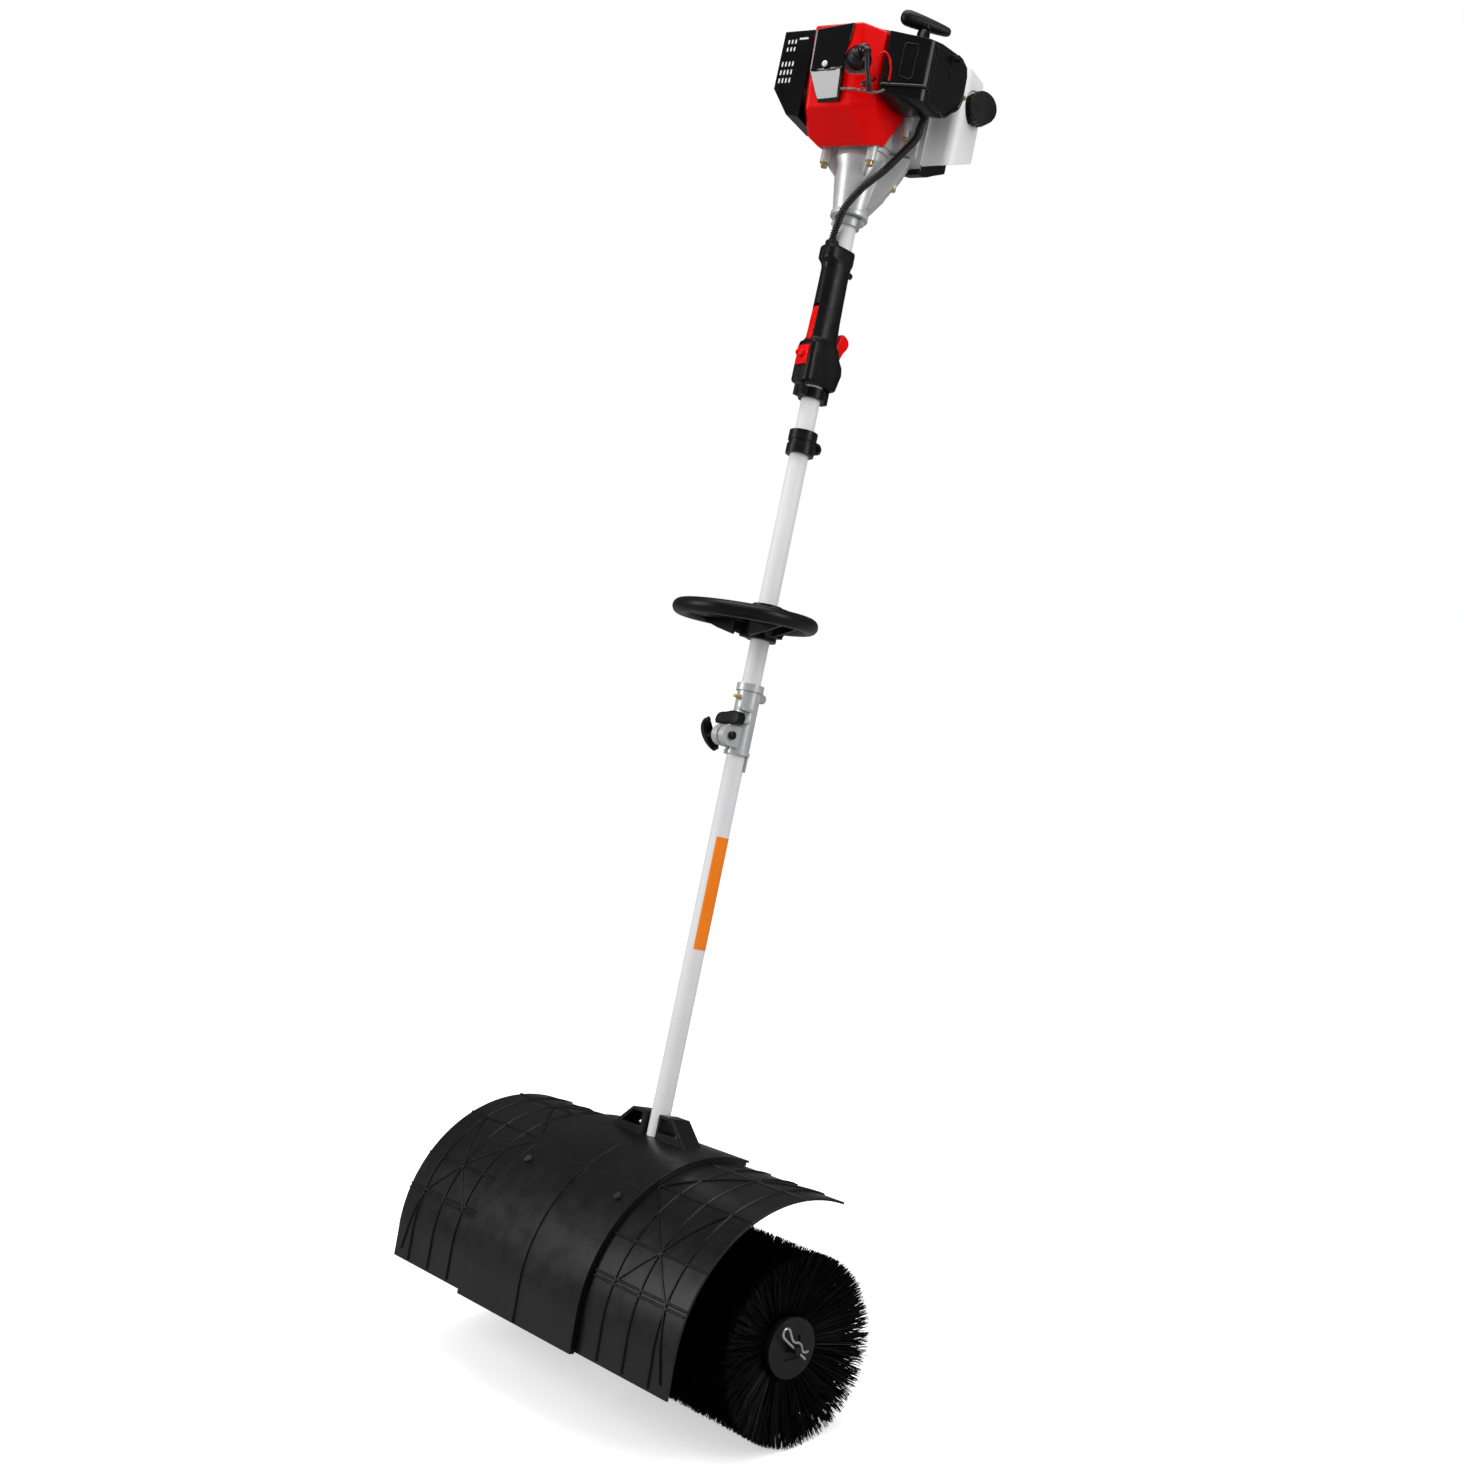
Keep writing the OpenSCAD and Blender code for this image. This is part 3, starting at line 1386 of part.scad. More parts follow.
// Spark plug in the cylinder head, leaning to the carburettor's side
module spark_plug() {
  color("white") on_engine()
      at_plug() {
        translate([0, 0, 6 + eps]) cylinder(r = 9, h = 6, $fn = 6);
        cylinder(r = 5, h = 24);
      }
}

// Rubber cap on the spark plug
module spark_plug_cap() {
  color([0.06, 0.06, 0.06])
    on_engine()
      at_plug()
        difference() {
          union() {
            translate([0, 0, 12 + seat_gap]) cylinder(r = 14, h = 15);
            translate([0, 0, 27]) sphere(r = 14);
          }
          cylinder(r = 5 + fit_gap, h = 24 + seat_gap);
        }
}

// Lead from the plug cap into the engine cover
module spark_plug_lead() {
  color([0.05, 0.05, 0.05])
    on_engine()
      wire(lead_route, 3.2, 8, 4, [1, 1, 0]);
}

// Red stop wire from the engine cover to the air cleaner
module stop_wire() {
  color("red") on_engine()
      wire(stop_route, 1.4, 8, 4, [1, 0.3, 0.2]);
}

// Carburettor between cylinder and air cleaner
module carburetor() {
  side = fin_half + eps;
  color("silver") on_engine() {
      difference() {
        union() {
          translate([side, -66, 60]) cube([5, 28, 30]);
          translate([side, -68, 57]) cube([air_x - side - eps, 32, 36]);
        }
        translate([side - 1, -52, 75]) rotate([0, 90, 0]) cylinder(r = 8, h = 60);
      }
    }
}
air_x = 56.5;

// Air cleaner box beside the carburettor
module air_cleaner() {
  outline = [[air_x, -88], [64, -84], [103, -60], [108, -54], [108, 52], [102, 58], [air_x, 58]];
  inner = [[air_x, -83], [63, -80], [100, -57], [104, -52], [104, 50], [100, 54], [air_x, 54]];
  color([0.08, 0.08, 0.08])
    on_engine()
      difference() {
        union() {
          translate([0, 0, 36]) linear_extrude(105) polygon(outline);
          translate([0, 0, 32]) linear_extrude(113) polygon(inner);
        }
        translate([air_x + 6, -60, 44]) cube([38, 108, 70]);
        translate([0, -75, 122]) rotate([8.5, 0, 0]) translate([40, -60, 0]) cube([90, 220, 60]);
        translate([air_x - 1, -52, 75]) rotate([0, 90, 0]) cylinder(r = 8, h = 12);
        translate([108, 0, 104]) cross_rod(pin_r + run_gap, 8);
        translate([63, -79, 50])
          rotate([0, 0, 31]) rotate([90, 0, 0]) cylinder(r = 2.4, h = 30, center = true);
      }
}

// Choke lever on the face of the air cleaner
module choke_lever() {
  color([0.1, 0.1, 0.1])
    on_engine()
      translate([108, 0, 104]) {
        cross_rod(pin_r, 5);
        translate([seat_gap, 0, 0]) rotate([0, 90, 0]) cylinder(r = 7, h = 4);
        translate([seat_gap, -4, 0]) cube([4, 8, 24]);
        translate([seat_gap, -4, 18]) cube([12, 8, 6]);
      }
}

// Muffler on the other side of the cylinder, with its exhaust stub
module muffler() {
  color("gray") on_engine() {
      translate([-98, -84, 52]) cube([36, 48, 70]);
      translate([-63, -66, 60]) cube([63 - fin_half - eps, 24, 30]);
    }
}

// Muffler guard: a black plastic shell with rows of slots
module muffler_guard() {
  wall = 2.5;
  deep = 62;
  slope = atan2(39, 28);
  color([0.07, 0.07, 0.07])
    on_engine()
      translate([0, -92, 0])
        difference() {
          rotate([90, 0, 180])
            mirror([1, 0, 0])
              linear_extrude(deep)
                polygon([[-104, 47], [-104, 130], [-57.4, 130], [-57.4, 4], [-76, 8]]);
          translate([0, wall, 0])
            rotate([90, 0, 180])
              mirror([1, 0, 0])
                linear_extrude(deep)
                  polygon([
                    [-104 + wall, 47.8], [-104 + wall, 130 - wall], [-50, 130 - wall],
                    [-50, 7], [-74.8, 10.6]]);
          for (k = [0 : 3], e = [55, 67, 79])
            translate([-100 + 5.4 * k, -1, e]) cube([2.6, 10, 7]);
          for (k = [0 : 2], e = [101, 112])
            translate([-97 + 5.4 * k, -1, e]) cube([2.6, 10, 6]);
          translate([-80, -1, 117]) cube([14, 10, 3]);
          for (k = [0 : 4])
            translate([-106, 8 + 11 * k, 60]) cube([10, 4, 52]);
          translate([-104, 0, 47])
            rotate([0, slope, 0])
              for (k = [0 : 5], y = [6, 33])
                translate([5 + 6.6 * k, y, -8]) cube([3, 22, 16]);
        }
}

// Recoil starter: a round black housing behind the crankcase
module recoil_starter() {
  deep = 28;
  color([0.08, 0.08, 0.08])
    on_engine()
      difference() {
        union() {
          translate([0, 0, case_end + eps]) cylinder(r = 44, h = deep + 1);
          translate([0, 0, case_end + deep])
            cylinder(r = starter_r, h = starter_end - case_end - deep - 6);
          translate([0, 0, starter_end - 7]) cylinder(r = starter_r - 6, h = 7);
          translate([handle_x - 2, handle_y, starter_end - 18])
            cylinder(r = 9, h = handle_z + 10 - starter_end);
        }
        translate([0, 0, case_end - 1]) cylinder(r = crank_r + 3, h = 24);
        translate([handle_x, handle_y, starter_end - 25]) cylinder(r = 2.6, h = 60);
        for (angle = [0 : 45 : 315])
          rotate([0, 0, angle]) translate([24, -3, starter_end - 4]) cube([22, 6, 10]);
      }
}

// Starter handle: a T-bar that pulls out with the rope
module starter_handle() {
  reach = 30;
  color([0.08, 0.08, 0.08])
    on_engine()
      translate([handle_x, handle_y, handle_z])
        rotate([0, 0, 47])
          difference() {
            union() {
              cross_rod(8, reach);
              for (side = [-1, 1])
                translate([side * reach, 0, 0]) sphere(r = 8);
              translate([0, 0, -8 + seat_gap]) cylinder(r = 9, h = 12);
            }
            translate([0, 0, -10]) cylinder(r = 2 + fit_gap, h = 12);
          }
}

// Starter rope, from inside the starter into the handle
module starter_rope() {
  color("white") on_engine(starter_end - 24)
      translate([handle_x, handle_y, 0]) cylinder(r = 2, h = handle_z - starter_end + 25);
}

// Puts a piece at the fuel filler, with Z out of the tank
module at_filler() {
  on_engine()
    translate(cap_at) rotate([0, 0, -cap_turn]) rotate([0, 90, 0]) children();
}

// Outline of the tank across the engine, with round corners
module tank_outline(less) {
  round = tank_wall_r - less;
  left = tank_x - tank_len + tank_wall_r;
  right = tank_x - tank_wall_r;
  low = tank_y[0] + tank_wall_r;
  high = tank_y[1] - tank_wall_r;
  for (x = [left, right], y = [low, high])
    translate([x, y]) circle(r = round);
  translate([left - round, low]) square([right - left + 2 * round, high - low]);
  translate([left, low - round]) square([right - left, high - low + 2 * round]);
}

// Form of the tank, less a wall: its outline cut by its sloping profile
module tank_form(less, profile) {
  on_engine()
    intersection() {
      translate([0, 0, tank_z[0] + less])
        linear_extrude(tank_z[1] - tank_z[0] - 2 * less) tank_outline(less);
      translate([-120, 0, 0]) rotate([90, 0, 90]) linear_extrude(240) polygon(profile);
    }
}

// Fuel tank: hollow, with its filler neck in a well
module fuel_tank() {
  wall = 2.5;
  cap_r = cap_d / 2;
  color("white")
    difference() {
      union() {
        difference() {
          tank_form(0, [[60, 1.9], [126, 36], [140, 55.6], [140, 102.7], [110, 157], [60, 157]]);
          difference() {
            tank_form(wall, [[60, 4.7], [124.8, 38.2], [140, 59.5], [140, 97.6], [108, 157], [60, 157]]);
            at_filler() translate([0, 0, -wall]) cylinder(r = cap_r + 4 + wall, h = 60);
          }
          at_filler() cylinder(r = cap_r + 4, h = 60);
        }
        at_filler() translate([0, 0, -1]) cylinder(r = 15, h = 13);
      }
      at_filler() translate([0, 0, -10]) cylinder(r = 12, h = 40);
    }
}

// Fuel cap: a ribbed cup that screws on the filler neck
module fuel_cap() {
  ribs = 20;
  color([0.06, 0.06, 0.06])
    at_filler()
      translate([0, 0, seat_gap])
        difference() {
          union() {
            cylinder(d = cap_d - 2, h = 20);
            for (k = [0 : ribs - 1])
              rotate([0, 0, 360 / ribs * k]) translate([cap_d / 2 - 3, -1.5, 0]) cube([3, 3, 17]);
          }
          translate([0, 0, -1]) cylinder(r = 15 + run_gap, h = 13 + seat_gap);
        }
}

// Tank stand: a plate between engine and tank, with a strut
module tank_stand() {
  from = fan_case_r + 15 + seat_gap;
  to = tank_y[0] - seat_gap;
  front = tank_z[0] - seat_gap;
  color([0.07, 0.07, 0.07])
    on_engine() {
      translate([-70, from, front - 6]) cube([140, to - from, 110]);
      for (x = [34, -60])
        translate([x, 0, 0])
          rotate([90, 0, 90])
            linear_extrude(26)
              polygon([
                [from, -20], [from, front], [to, front], [126, 35.2], [134, 44],
                [134, 26], [122, 19], [104, 2], [84, -12], [64, -20]]);
    }
}

brush_axle();
worm_wheel();
brush_cores();
bristles_left();
bristles_right();
end_discs();
hairpin_clips();
lower_drive_shaft();
worm();
lower_tube();
lower_bearings();
gearbox_left();
gearbox_right();
head_bolts();
guard_bracket();
guard_left();
guard_right();
guard_centre();
upper_tube();
upper_bushes();
upper_drive_shaft();
clutch_drum();
shaft_coupler();
brass_bolts();
clamp_knob();
release_catch();
loop_handle();
loop_handle_cap();
small_screws();
harness_collar();
grip_left();
grip_right();
grip_clamp();
throttle_trigger();
lockout_lever();
stop_switch();
throttle_lock_button();
throttle_conduit();
tube_clamp();
clutch_housing();
fan_case();
fan_flywheel();
engine_cylinder();
cylinder_cover();
cover_panel();
muffler();
muffler_guard();
spark_plug();
spark_plug_cap();
spark_plug_lead();
stop_wire();
carburetor();
air_cleaner();
choke_lever();
recoil_starter();
starter_handle();
starter_rope();
fuel_tank();
fuel_cap();
tank_stand();
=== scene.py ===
"""Looks of a petrol power brush sweeper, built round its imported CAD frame. Metres, Z up."""
import math
import bmesh
import bpy
import numpy as np
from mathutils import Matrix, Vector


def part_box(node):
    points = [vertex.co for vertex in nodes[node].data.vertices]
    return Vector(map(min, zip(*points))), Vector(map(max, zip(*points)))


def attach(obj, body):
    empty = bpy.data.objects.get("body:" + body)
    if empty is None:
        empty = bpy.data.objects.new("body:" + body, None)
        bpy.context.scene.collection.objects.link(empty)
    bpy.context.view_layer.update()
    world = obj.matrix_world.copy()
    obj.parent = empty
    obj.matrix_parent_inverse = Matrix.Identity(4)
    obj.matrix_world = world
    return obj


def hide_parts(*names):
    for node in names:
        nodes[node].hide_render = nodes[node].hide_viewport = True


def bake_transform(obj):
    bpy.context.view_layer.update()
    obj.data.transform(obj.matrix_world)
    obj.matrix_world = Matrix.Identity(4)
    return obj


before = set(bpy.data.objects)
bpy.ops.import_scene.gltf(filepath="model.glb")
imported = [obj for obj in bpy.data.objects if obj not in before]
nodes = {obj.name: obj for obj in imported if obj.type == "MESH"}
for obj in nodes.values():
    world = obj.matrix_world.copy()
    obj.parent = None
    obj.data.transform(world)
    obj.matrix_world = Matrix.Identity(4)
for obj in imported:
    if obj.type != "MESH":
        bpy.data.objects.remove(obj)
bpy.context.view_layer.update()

# Studio: white surroundings for the camera, dim ones for reflections, a pale floor that keeps
# the contact shadow, one broad softbox in front, one above and one at the right.
WHITE = (1.0, 1.0, 1.0, 1.0)
SKY = {"fill": 0.70, "mirror": 0.10, "seen": 1.0}
FLOOR_HALF = 40.0
FLOOR_SEEN = (0.8, 0.8, 0.8, 1.0)
FLOOR_DIM = (0.3, 0.3, 0.3, 1.0)
FLOOR_GLOW = 0.50
scene = bpy.context.scene
scene.view_settings.view_transform = "Standard"
world = bpy.data.worlds.new("studio")
scene.world = world
world.use_nodes = True
tree = world.node_tree
tree.nodes.clear()
path = tree.nodes.new("ShaderNodeLightPath")
out = tree.nodes.new("ShaderNodeOutputWorld")
sky = {}
for role, strength in SKY.items():
    sky[role] = tree.nodes.new("ShaderNodeBackground")
    sky[role].inputs["Color"].default_value = WHITE
    sky[role].inputs["Strength"].default_value = strength
by_gloss = tree.nodes.new("ShaderNodeMixShader")
by_camera = tree.nodes.new("ShaderNodeMixShader")
tree.links.new(path.outputs["Is Glossy Ray"], by_gloss.inputs[0])
tree.links.new(sky["fill"].outputs[0], by_gloss.inputs[1])
tree.links.new(sky["mirror"].outputs[0], by_gloss.inputs[2])
tree.links.new(path.outputs["Is Camera Ray"], by_camera.inputs[0])
tree.links.new(by_gloss.outputs[0], by_camera.inputs[1])
tree.links.new(sky["seen"].outputs[0], by_camera.inputs[2])
tree.links.new(by_camera.outputs[0], out.inputs[0])

floor_mat = bpy.data.materials.new("pale_floor")
floor_mat.use_nodes = True
tree = floor_mat.node_tree
tree.nodes.clear()
path = tree.nodes.new("ShaderNodeLightPath")
out = tree.nodes.new("ShaderNodeOutputMaterial")
matt = tree.nodes.new("ShaderNodeBsdfDiffuse")
matt.inputs["Color"].default_value = FLOOR_SEEN
dim = tree.nodes.new("ShaderNodeBsdfDiffuse")
dim.inputs["Color"].default_value = FLOOR_DIM
glow = tree.nodes.new("ShaderNodeEmission")
glow.inputs["Color"].default_value = WHITE
glow.inputs["Strength"].default_value = FLOOR_GLOW
both = tree.nodes.new("ShaderNodeAddShader")
pick = tree.nodes.new("ShaderNodeMixShader")
tree.links.new(matt.outputs[0], both.inputs[0])
tree.links.new(glow.outputs[0], both.inputs[1])
tree.links.new(path.outputs["Is Camera Ray"], pick.inputs[0])
tree.links.new(dim.outputs[0], pick.inputs[1])
tree.links.new(both.outputs[0], pick.inputs[2])
tree.links.new(pick.outputs[0], out.inputs[0])
floor_mesh = bpy.data.meshes.new("floor")
floor_mesh.from_pydata(
    [(x * FLOOR_HALF, y * FLOOR_HALF, 0) for x, y in ((-1, -1), (1, -1), (1, 1), (-1, 1))],
    [], [(0, 1, 2, 3)])
floor_mesh.materials.append(floor_mat)
floor = bpy.data.objects.new("floor", floor_mesh)
scene.collection.objects.link(floor)

# Each softbox: its place, the point it aims at, its width and height, and its power in watts.
SOFTBOXES = {
    "softbox_front": ((-1.7, -2.8, 2.3), (0.0, 0.25, 0.9), (1.3, 2.0), 60),
    "softbox_right": ((2.9, 1.1, 2.0), (0.0, 0.3, 0.9), (1.0, 2.2), 36),
    "softbox_top": ((0.2, 0.3, 3.6), (0.0, 0.3, 0.0), (2.4, 2.4), 58),
}
for name, (place, aim, size, power) in SOFTBOXES.items():
    lamp = bpy.data.lights.new(name, "AREA")
    lamp.shape = "RECTANGLE"
    lamp.size, lamp.size_y = size
    lamp.energy = power
    light = bpy.data.objects.new(name, lamp)
    scene.collection.objects.link(light)
    light.location = place
    away = np.subtract(place, aim)
    light.rotation_euler = (
        math.atan2(math.hypot(away[0], away[1]), away[2]), 0, math.atan2(away[0], -away[1]))

CAMERA_AT = (1.8479, -1.4055, 0.9928)
CAMERA_DOWN, CAMERA_TURN = 4.042, 49.965
lens = bpy.data.cameras.new("camera")
lens.sensor_width = 36.0
lens.lens = 44.917
lens.clip_end = 200.0
camera = bpy.data.objects.new("camera", lens)
scene.collection.objects.link(camera)
camera.location = CAMERA_AT
camera.rotation_euler = (math.radians(90 - CAMERA_DOWN), 0, math.radians(CAMERA_TURN))
scene.camera = camera

# Brush: two rolls of black nylon bristles on steel cores, closed by black end discs and held on
# the square axle by bright hairpin clips. The bristles are separate filaments with ragged tips.
AXLE_Z = 0.1145
BRUSH_R = 0.1145
CORE_R = 0.0365


def finish(name, dark, light, rough, metal=0.0, shine=0.5, grain=(900, 0.05), edge=0.0006,
           edge_wear_and_highlight=None, blotch=14):
    """A material for hard surfaces. Noise runs between a dark and a light colour, a second noise
    shifts the roughness, a fine grain bumps the normal, edges are rounded by the Bevel node, and
    where the rounded normal leaves the true one the edge takes a lighter edge colour: edge wear on
    most materials, a painted highlight on the red plastic, the guard, its ribs and the gloss
    blacks.
    The grain is a scale and a strength, the blotch the scale of the colour's noise."""
    mat = bpy.data.materials.new(name)
    mat.use_nodes = True
    new = mat.node_tree.nodes.new
    link = mat.node_tree.links.new
    shader = mat.node_tree.nodes["Principled BSDF"]
    shader.inputs["Metallic"].default_value = metal
    shader.inputs["Specular IOR Level"].default_value = shine
    coords = new("ShaderNodeTexCoord").outputs["Object"]

    def noise(scale, detail):
        node = new("ShaderNodeTexNoise")
        node.inputs["Scale"].default_value = scale
        node.inputs["Detail"].default_value = detail
        link(coords, node.inputs["Vector"])
        return node.outputs[0]

    def remap(value, low, high, to_low, to_high):
        node = new("ShaderNodeMapRange")
        for socket, number in zip(node.inputs[1:5], (low, high, to_low, to_high)):
            socket.default_value = number
        link(value, node.inputs[0])
        return node.outputs[0]

    ramp = new("ShaderNodeValToRGB")
    for end, place, shade in zip(ramp.color_ramp.elements, (0.32, 0.68), (dark, light)):
        end.position = place
        end.color = (*shade, 1)
    link(noise(blotch, 5), ramp.inputs[0])
    colour = ramp.outputs[0]
    rough_low, rough_high = rough * 0.82, min(1.0, rough * 1.18)
    link(remap(noise(blotch * 5, 3), 0.3, 0.7, rough_low, rough_high), shader.inputs["Roughness"])
    bevel = new("ShaderNodeBevel")
    bevel.samples = 4
    bevel.inputs["Radius"].default_value = edge
    bump = new("ShaderNodeBump")
    bump.inputs["Strength"].default_value = grain[1]
    bump.inputs["Distance"].default_value = 0.0004
    link(noise(grain[0], 2), bump.inputs["Height"])
    link(bevel.outputs[0], bump.inputs["Normal"])
    link(bump.outputs[0], shader.inputs["Normal"])
    # The lighter edge colour: edge wear, and on some plastics a painted highlight.
    if edge_wear_and_highlight:
        true = new("ShaderNodeNewGeometry")
        cosine = new("ShaderNodeVectorMath")
        cosine.operation = "DOT_PRODUCT"
        link(bevel.outputs[0], cosine.inputs[0])
        link(true.outputs["Normal"], cosine.inputs[1])
        wear_and_highlight_mask = new("ShaderNodeMath")
        wear_and_highlight_mask.operation = "MULTIPLY"
        link(remap(cosine.outputs["Value"], 0.86, 0.98, 0.75, 0.0), wear_and_highlight_mask.inputs[0])
        link(remap(noise(60, 4), 0.35, 0.65, 0.15, 1.0), wear_and_highlight_mask.inputs[1])
        mix = new("ShaderNodeMix")
        mix.data_type = "RGBA"
        link(wear_and_highlight_mask.outputs[0], mix.inputs["Factor"])
        link(colour, mix.inputs["A"])
        mix.inputs["B"].default_value = (*edge_wear_and_highlight, 1)
        colour = mix.outputs["Result"]
    link(colour, shader.inputs["Base Color"])
    return mat


def dress(mat, *names):
    """Gives CAD nodes a better material."""
    for name in names:
        nodes[name].data.materials.clear()
        nodes[name].data.materials.append(mat)


def piece(name, skin, body, mat, crease=38):
    """A new closed mesh piece in the shared frame, its normals turned outward, that rides on a body
    and takes a material slot. Its skin is points, faces, and the rings of point numbers that close
    its ends. Edges sharper than the crease angle stay sharp."""
    verts, faces, caps = skin
    mesh = bpy.data.meshes.new(name)
    mesh.from_pydata(np.asarray(verts).tolist(), [],
                     np.asarray(faces).tolist() + [list(cap) for cap in caps])
    work = bmesh.new()
    work.from_mesh(mesh)
    bmesh.ops.recalc_face_normals(work, faces=work.faces[:])
    work.to_mesh(mesh)
    work.free()
    mesh.materials.append(mat)
    mesh.polygons.foreach_set("use_smooth", np.ones(len(mesh.polygons), bool))
    mesh.set_sharp_from_angle(angle=math.radians(crease))
    mesh.update()
    obj = bpy.data.objects.new(name, mesh)
    scene.collection.objects.link(obj)
    if body:
        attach(obj, body)
    return obj


def grid_faces(rows, columns):
    """Quads of a grid of points, row by row, closed along the columns."""
    i, j = np.meshgrid(np.arange(rows - 1), np.arange(columns), indexing="ij")
    k = (j + 1) % columns
    near, far = i * columns, (i + 1) * columns
    return np.stack((near + j, near + k, far + k, far + j), -1).reshape(-1, 4)


def loft(rings):
    """Points, faces and end caps of a closed skin over rings, an array of rings x points x 3."""
    rows, columns = rings.shape[:2]
    last = (rows - 1) * columns
    caps = (range(columns), range(last, last + columns))
    return rings.reshape(-1, 3), grid_faces(rows, columns), caps


bright_steel = finish("bright_steel", (0.50, 0.50, 0.50), (0.66, 0.66, 0.65), rough=0.24, metal=0.8,
                      grain=(700, 0.04), edge=0.0004)
black_disc = finish("black_disc", (0.006, 0.006, 0.0065), (0.011, 0.011, 0.012), rough=0.42,
                    shine=0.3, grain=(650, 0.12), edge=0.0008, edge_wear_and_highlight=(0.05, 0.05, 0.05))
nylon = finish("nylon_filament", (0.0008, 0.0008, 0.0008), (0.003, 0.003, 0.003), rough=0.38,
               shine=0.12, grain=(500, 0.05), edge=0.0, blotch=40)
# The steel cores take the end discs' black: painted shade deep in the roll, between the filaments.
dress(black_disc, "end_discs", "brush_axle", "brush_cores")
FILAMENTS, SIDES, STEPS = 15000, 3, 3
FILAMENT_R = 0.00058
REACH, RAGGED, SHORTEST = 0.1132, 0.0013, 0.105
FLARE_TO = 0.3005
LOWEST = 0.0004
for side, sign, seed in (("left", 1, 11), ("right", -1, 12)):
    low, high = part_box("bristles_" + side)
    inner, outer = sorted((abs(low.x), abs(high.x)))
    rng = np.random.default_rng(seed)
    t = np.linspace(0, 1, STEPS)[None, :]
    reach = np.clip(REACH + rng.normal(0, RAGGED, FILAMENTS), SHORTEST, BRUSH_R)[:, None]
    radius = CORE_R + (reach - CORE_R) * t
    angle = (rng.uniform(0, 2 * np.pi, FILAMENTS)[:, None]
             + rng.normal(0, 0.05, FILAMENTS)[:, None] * t ** 2)
    # One filament in six stands near the end disc, where the roll is dense.
    u = np.where(np.arange(FILAMENTS) % 6 == 0, rng.uniform(0.93, 1, FILAMENTS),
                 rng.uniform(0, 1, FILAMENTS))[:, None]
    root = inner + 0.001 + u * (outer - inner - 0.002)
    lean = np.clip(rng.normal(0, 0.004, FILAMENTS), -0.009, 0.009)[:, None]
    lean = lean * (1 - u ** 4) * (u > 0.03)
    flare = (FLARE_TO - outer) * u ** 5
    x = sign * np.clip(root + (lean + flare) * t ** 1.4, inner, FLARE_TO)
    ring = 2 * np.pi * np.arange(SIDES) / SIDES + rng.uniform(0, 6.3, FILAMENTS)[:, None]
    thick = FILAMENT_R * np.array((1.0, 1.0, 0.75))[None, :, None]
    across = thick * np.sin(ring)[:, None, :]
    angle, radius = angle[:, :, None], radius[:, :, None]
    verts = np.stack((x[:, :, None] + thick * np.cos(ring)[:, None, :],
                      -radius * np.sin(angle) + across * np.cos(angle),
                      AXLE_Z + radius * np.cos(angle) + across * np.sin(angle)), -1).reshape(-1, 3)
    verts[:, 2] = np.maximum(verts[:, 2], LOWEST)
    first = np.arange(FILAMENTS)[:, None, None] * STEPS * SIDES
    faces = (grid_faces(STEPS, SIDES)[None] + first).reshape(-1, 4)
    tips = (np.arange((STEPS - 1) * SIDES, STEPS * SIDES)[None] + first[:, 0]).tolist()
    fill = piece("bristle_fill_" + side, (verts, faces, tips), "brush", nylon)
    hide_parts("bristles_" + side)


def curve(route, count):
    """Points at even spacing on a Catmull-Rom curve through a route's points, and its length."""
    p = np.asarray(route, float)
    p = np.vstack((2 * p[0] - p[1], p, 2 * p[-1] - p[-2]))
    t = np.linspace(0, 1, 24, endpoint=False)[:, None]
    a, b, c, d = (p[i:len(p) - 3 + i, None] for i in range(4))
    square, cube = 2 * a - 5 * b + 4 * c - d, 3 * b - a - 3 * c + d
    q = (2 * b + (c - a) * t + square * t ** 2 + cube * t ** 3) / 2
    q = np.vstack((q.reshape(-1, p.shape[1]), p[-2]))
    run = np.r_[0, np.cumsum(np.linalg.norm(np.diff(q, axis=0), axis=1))]
    at = np.linspace(0, run[-1], count)
    return np.stack([np.interp(at, run, q[:, i]) for i in range(p.shape[1])], -1), run[-1]


def tube(centre, radius, sides):
    """Skin of rings round a centre line, each square to its tangent, with one radius for all, one
    for each ring or one for each point."""
    way = np.gradient(centre, axis=0)
    way /= np.linalg.norm(way, axis=1, keepdims=True)
    fixed = np.eye(3)[np.argmin(np.abs(way).max(0))]
    side = np.cross(way, fixed)
    side /= np.linalg.norm(side, axis=1, keepdims=True)
    up = np.cross(side, way)
    turn = np.linspace(0, 2 * np.pi, sides, endpoint=False)[None, :, None]
    ring = side[:, None] * np.cos(turn) + up[:, None] * np.sin(turn)
    radius = radius if np.ndim(radius) else np.full(len(centre), radius)
    return loft(centre[:, None] + np.reshape(radius, (len(centre), -1, 1)) * ring)


def round_ends(count, rings):
    """One number per ring along a bar: 1, and a quarter circle down to 0.2 in the last rings at
    each end."""
    near = np.minimum(np.arange(count), np.arange(count)[::-1]) / rings
    return np.sqrt(1 - np.clip(1 - near, 0, 0.98) ** 2)


def merge(skins):
    """One skin of several, the point numbers of each shifted past those before it."""
    shifts = np.cumsum([0, *(len(skin[0]) for skin in skins)])
    return (np.vstack([skin[0] for skin in skins]),
            np.vstack([skin[1] + shift for skin, shift in zip(skins, shifts)]),
            [np.add(cap, shift).tolist() for skin, shift in zip(skins, shifts) for cap in skin[2]])


CLIP = np.array([(22, 0), (8, 0), (-8, 0), (-22, 0), (-29, 1), (-33, 5), (-32, 10), (-27, 12),
                 (-21, 9.5), (-14, 6), (-8, 5.5), (-4, 8.2), (0, 9), (4, 8.2), (8, 5.5), (13, 5),
                 (19, 10)], float) / 1000
CLIP_R = 0.0016
TILT = math.radians(15.5)
CLIP_TURN = math.radians(-60)
low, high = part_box("hairpin_clips")
along, up = curve(CLIP, 150)[0].T
c, s = math.cos(TILT + CLIP_TURN), math.sin(TILT + CLIP_TURN)
lines = [np.c_[np.full(150, x), up * c - along * s, AXLE_Z - up * s - along * c]
         for x in (high.x - CLIP_R, low.x + CLIP_R)]
pair = merge([tube(line, CLIP_R * round_ends(150, 3), 14) for line in lines])
clips = piece("hairpin_pair", pair, "brush", bright_steel)
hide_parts("hairpin_clips")

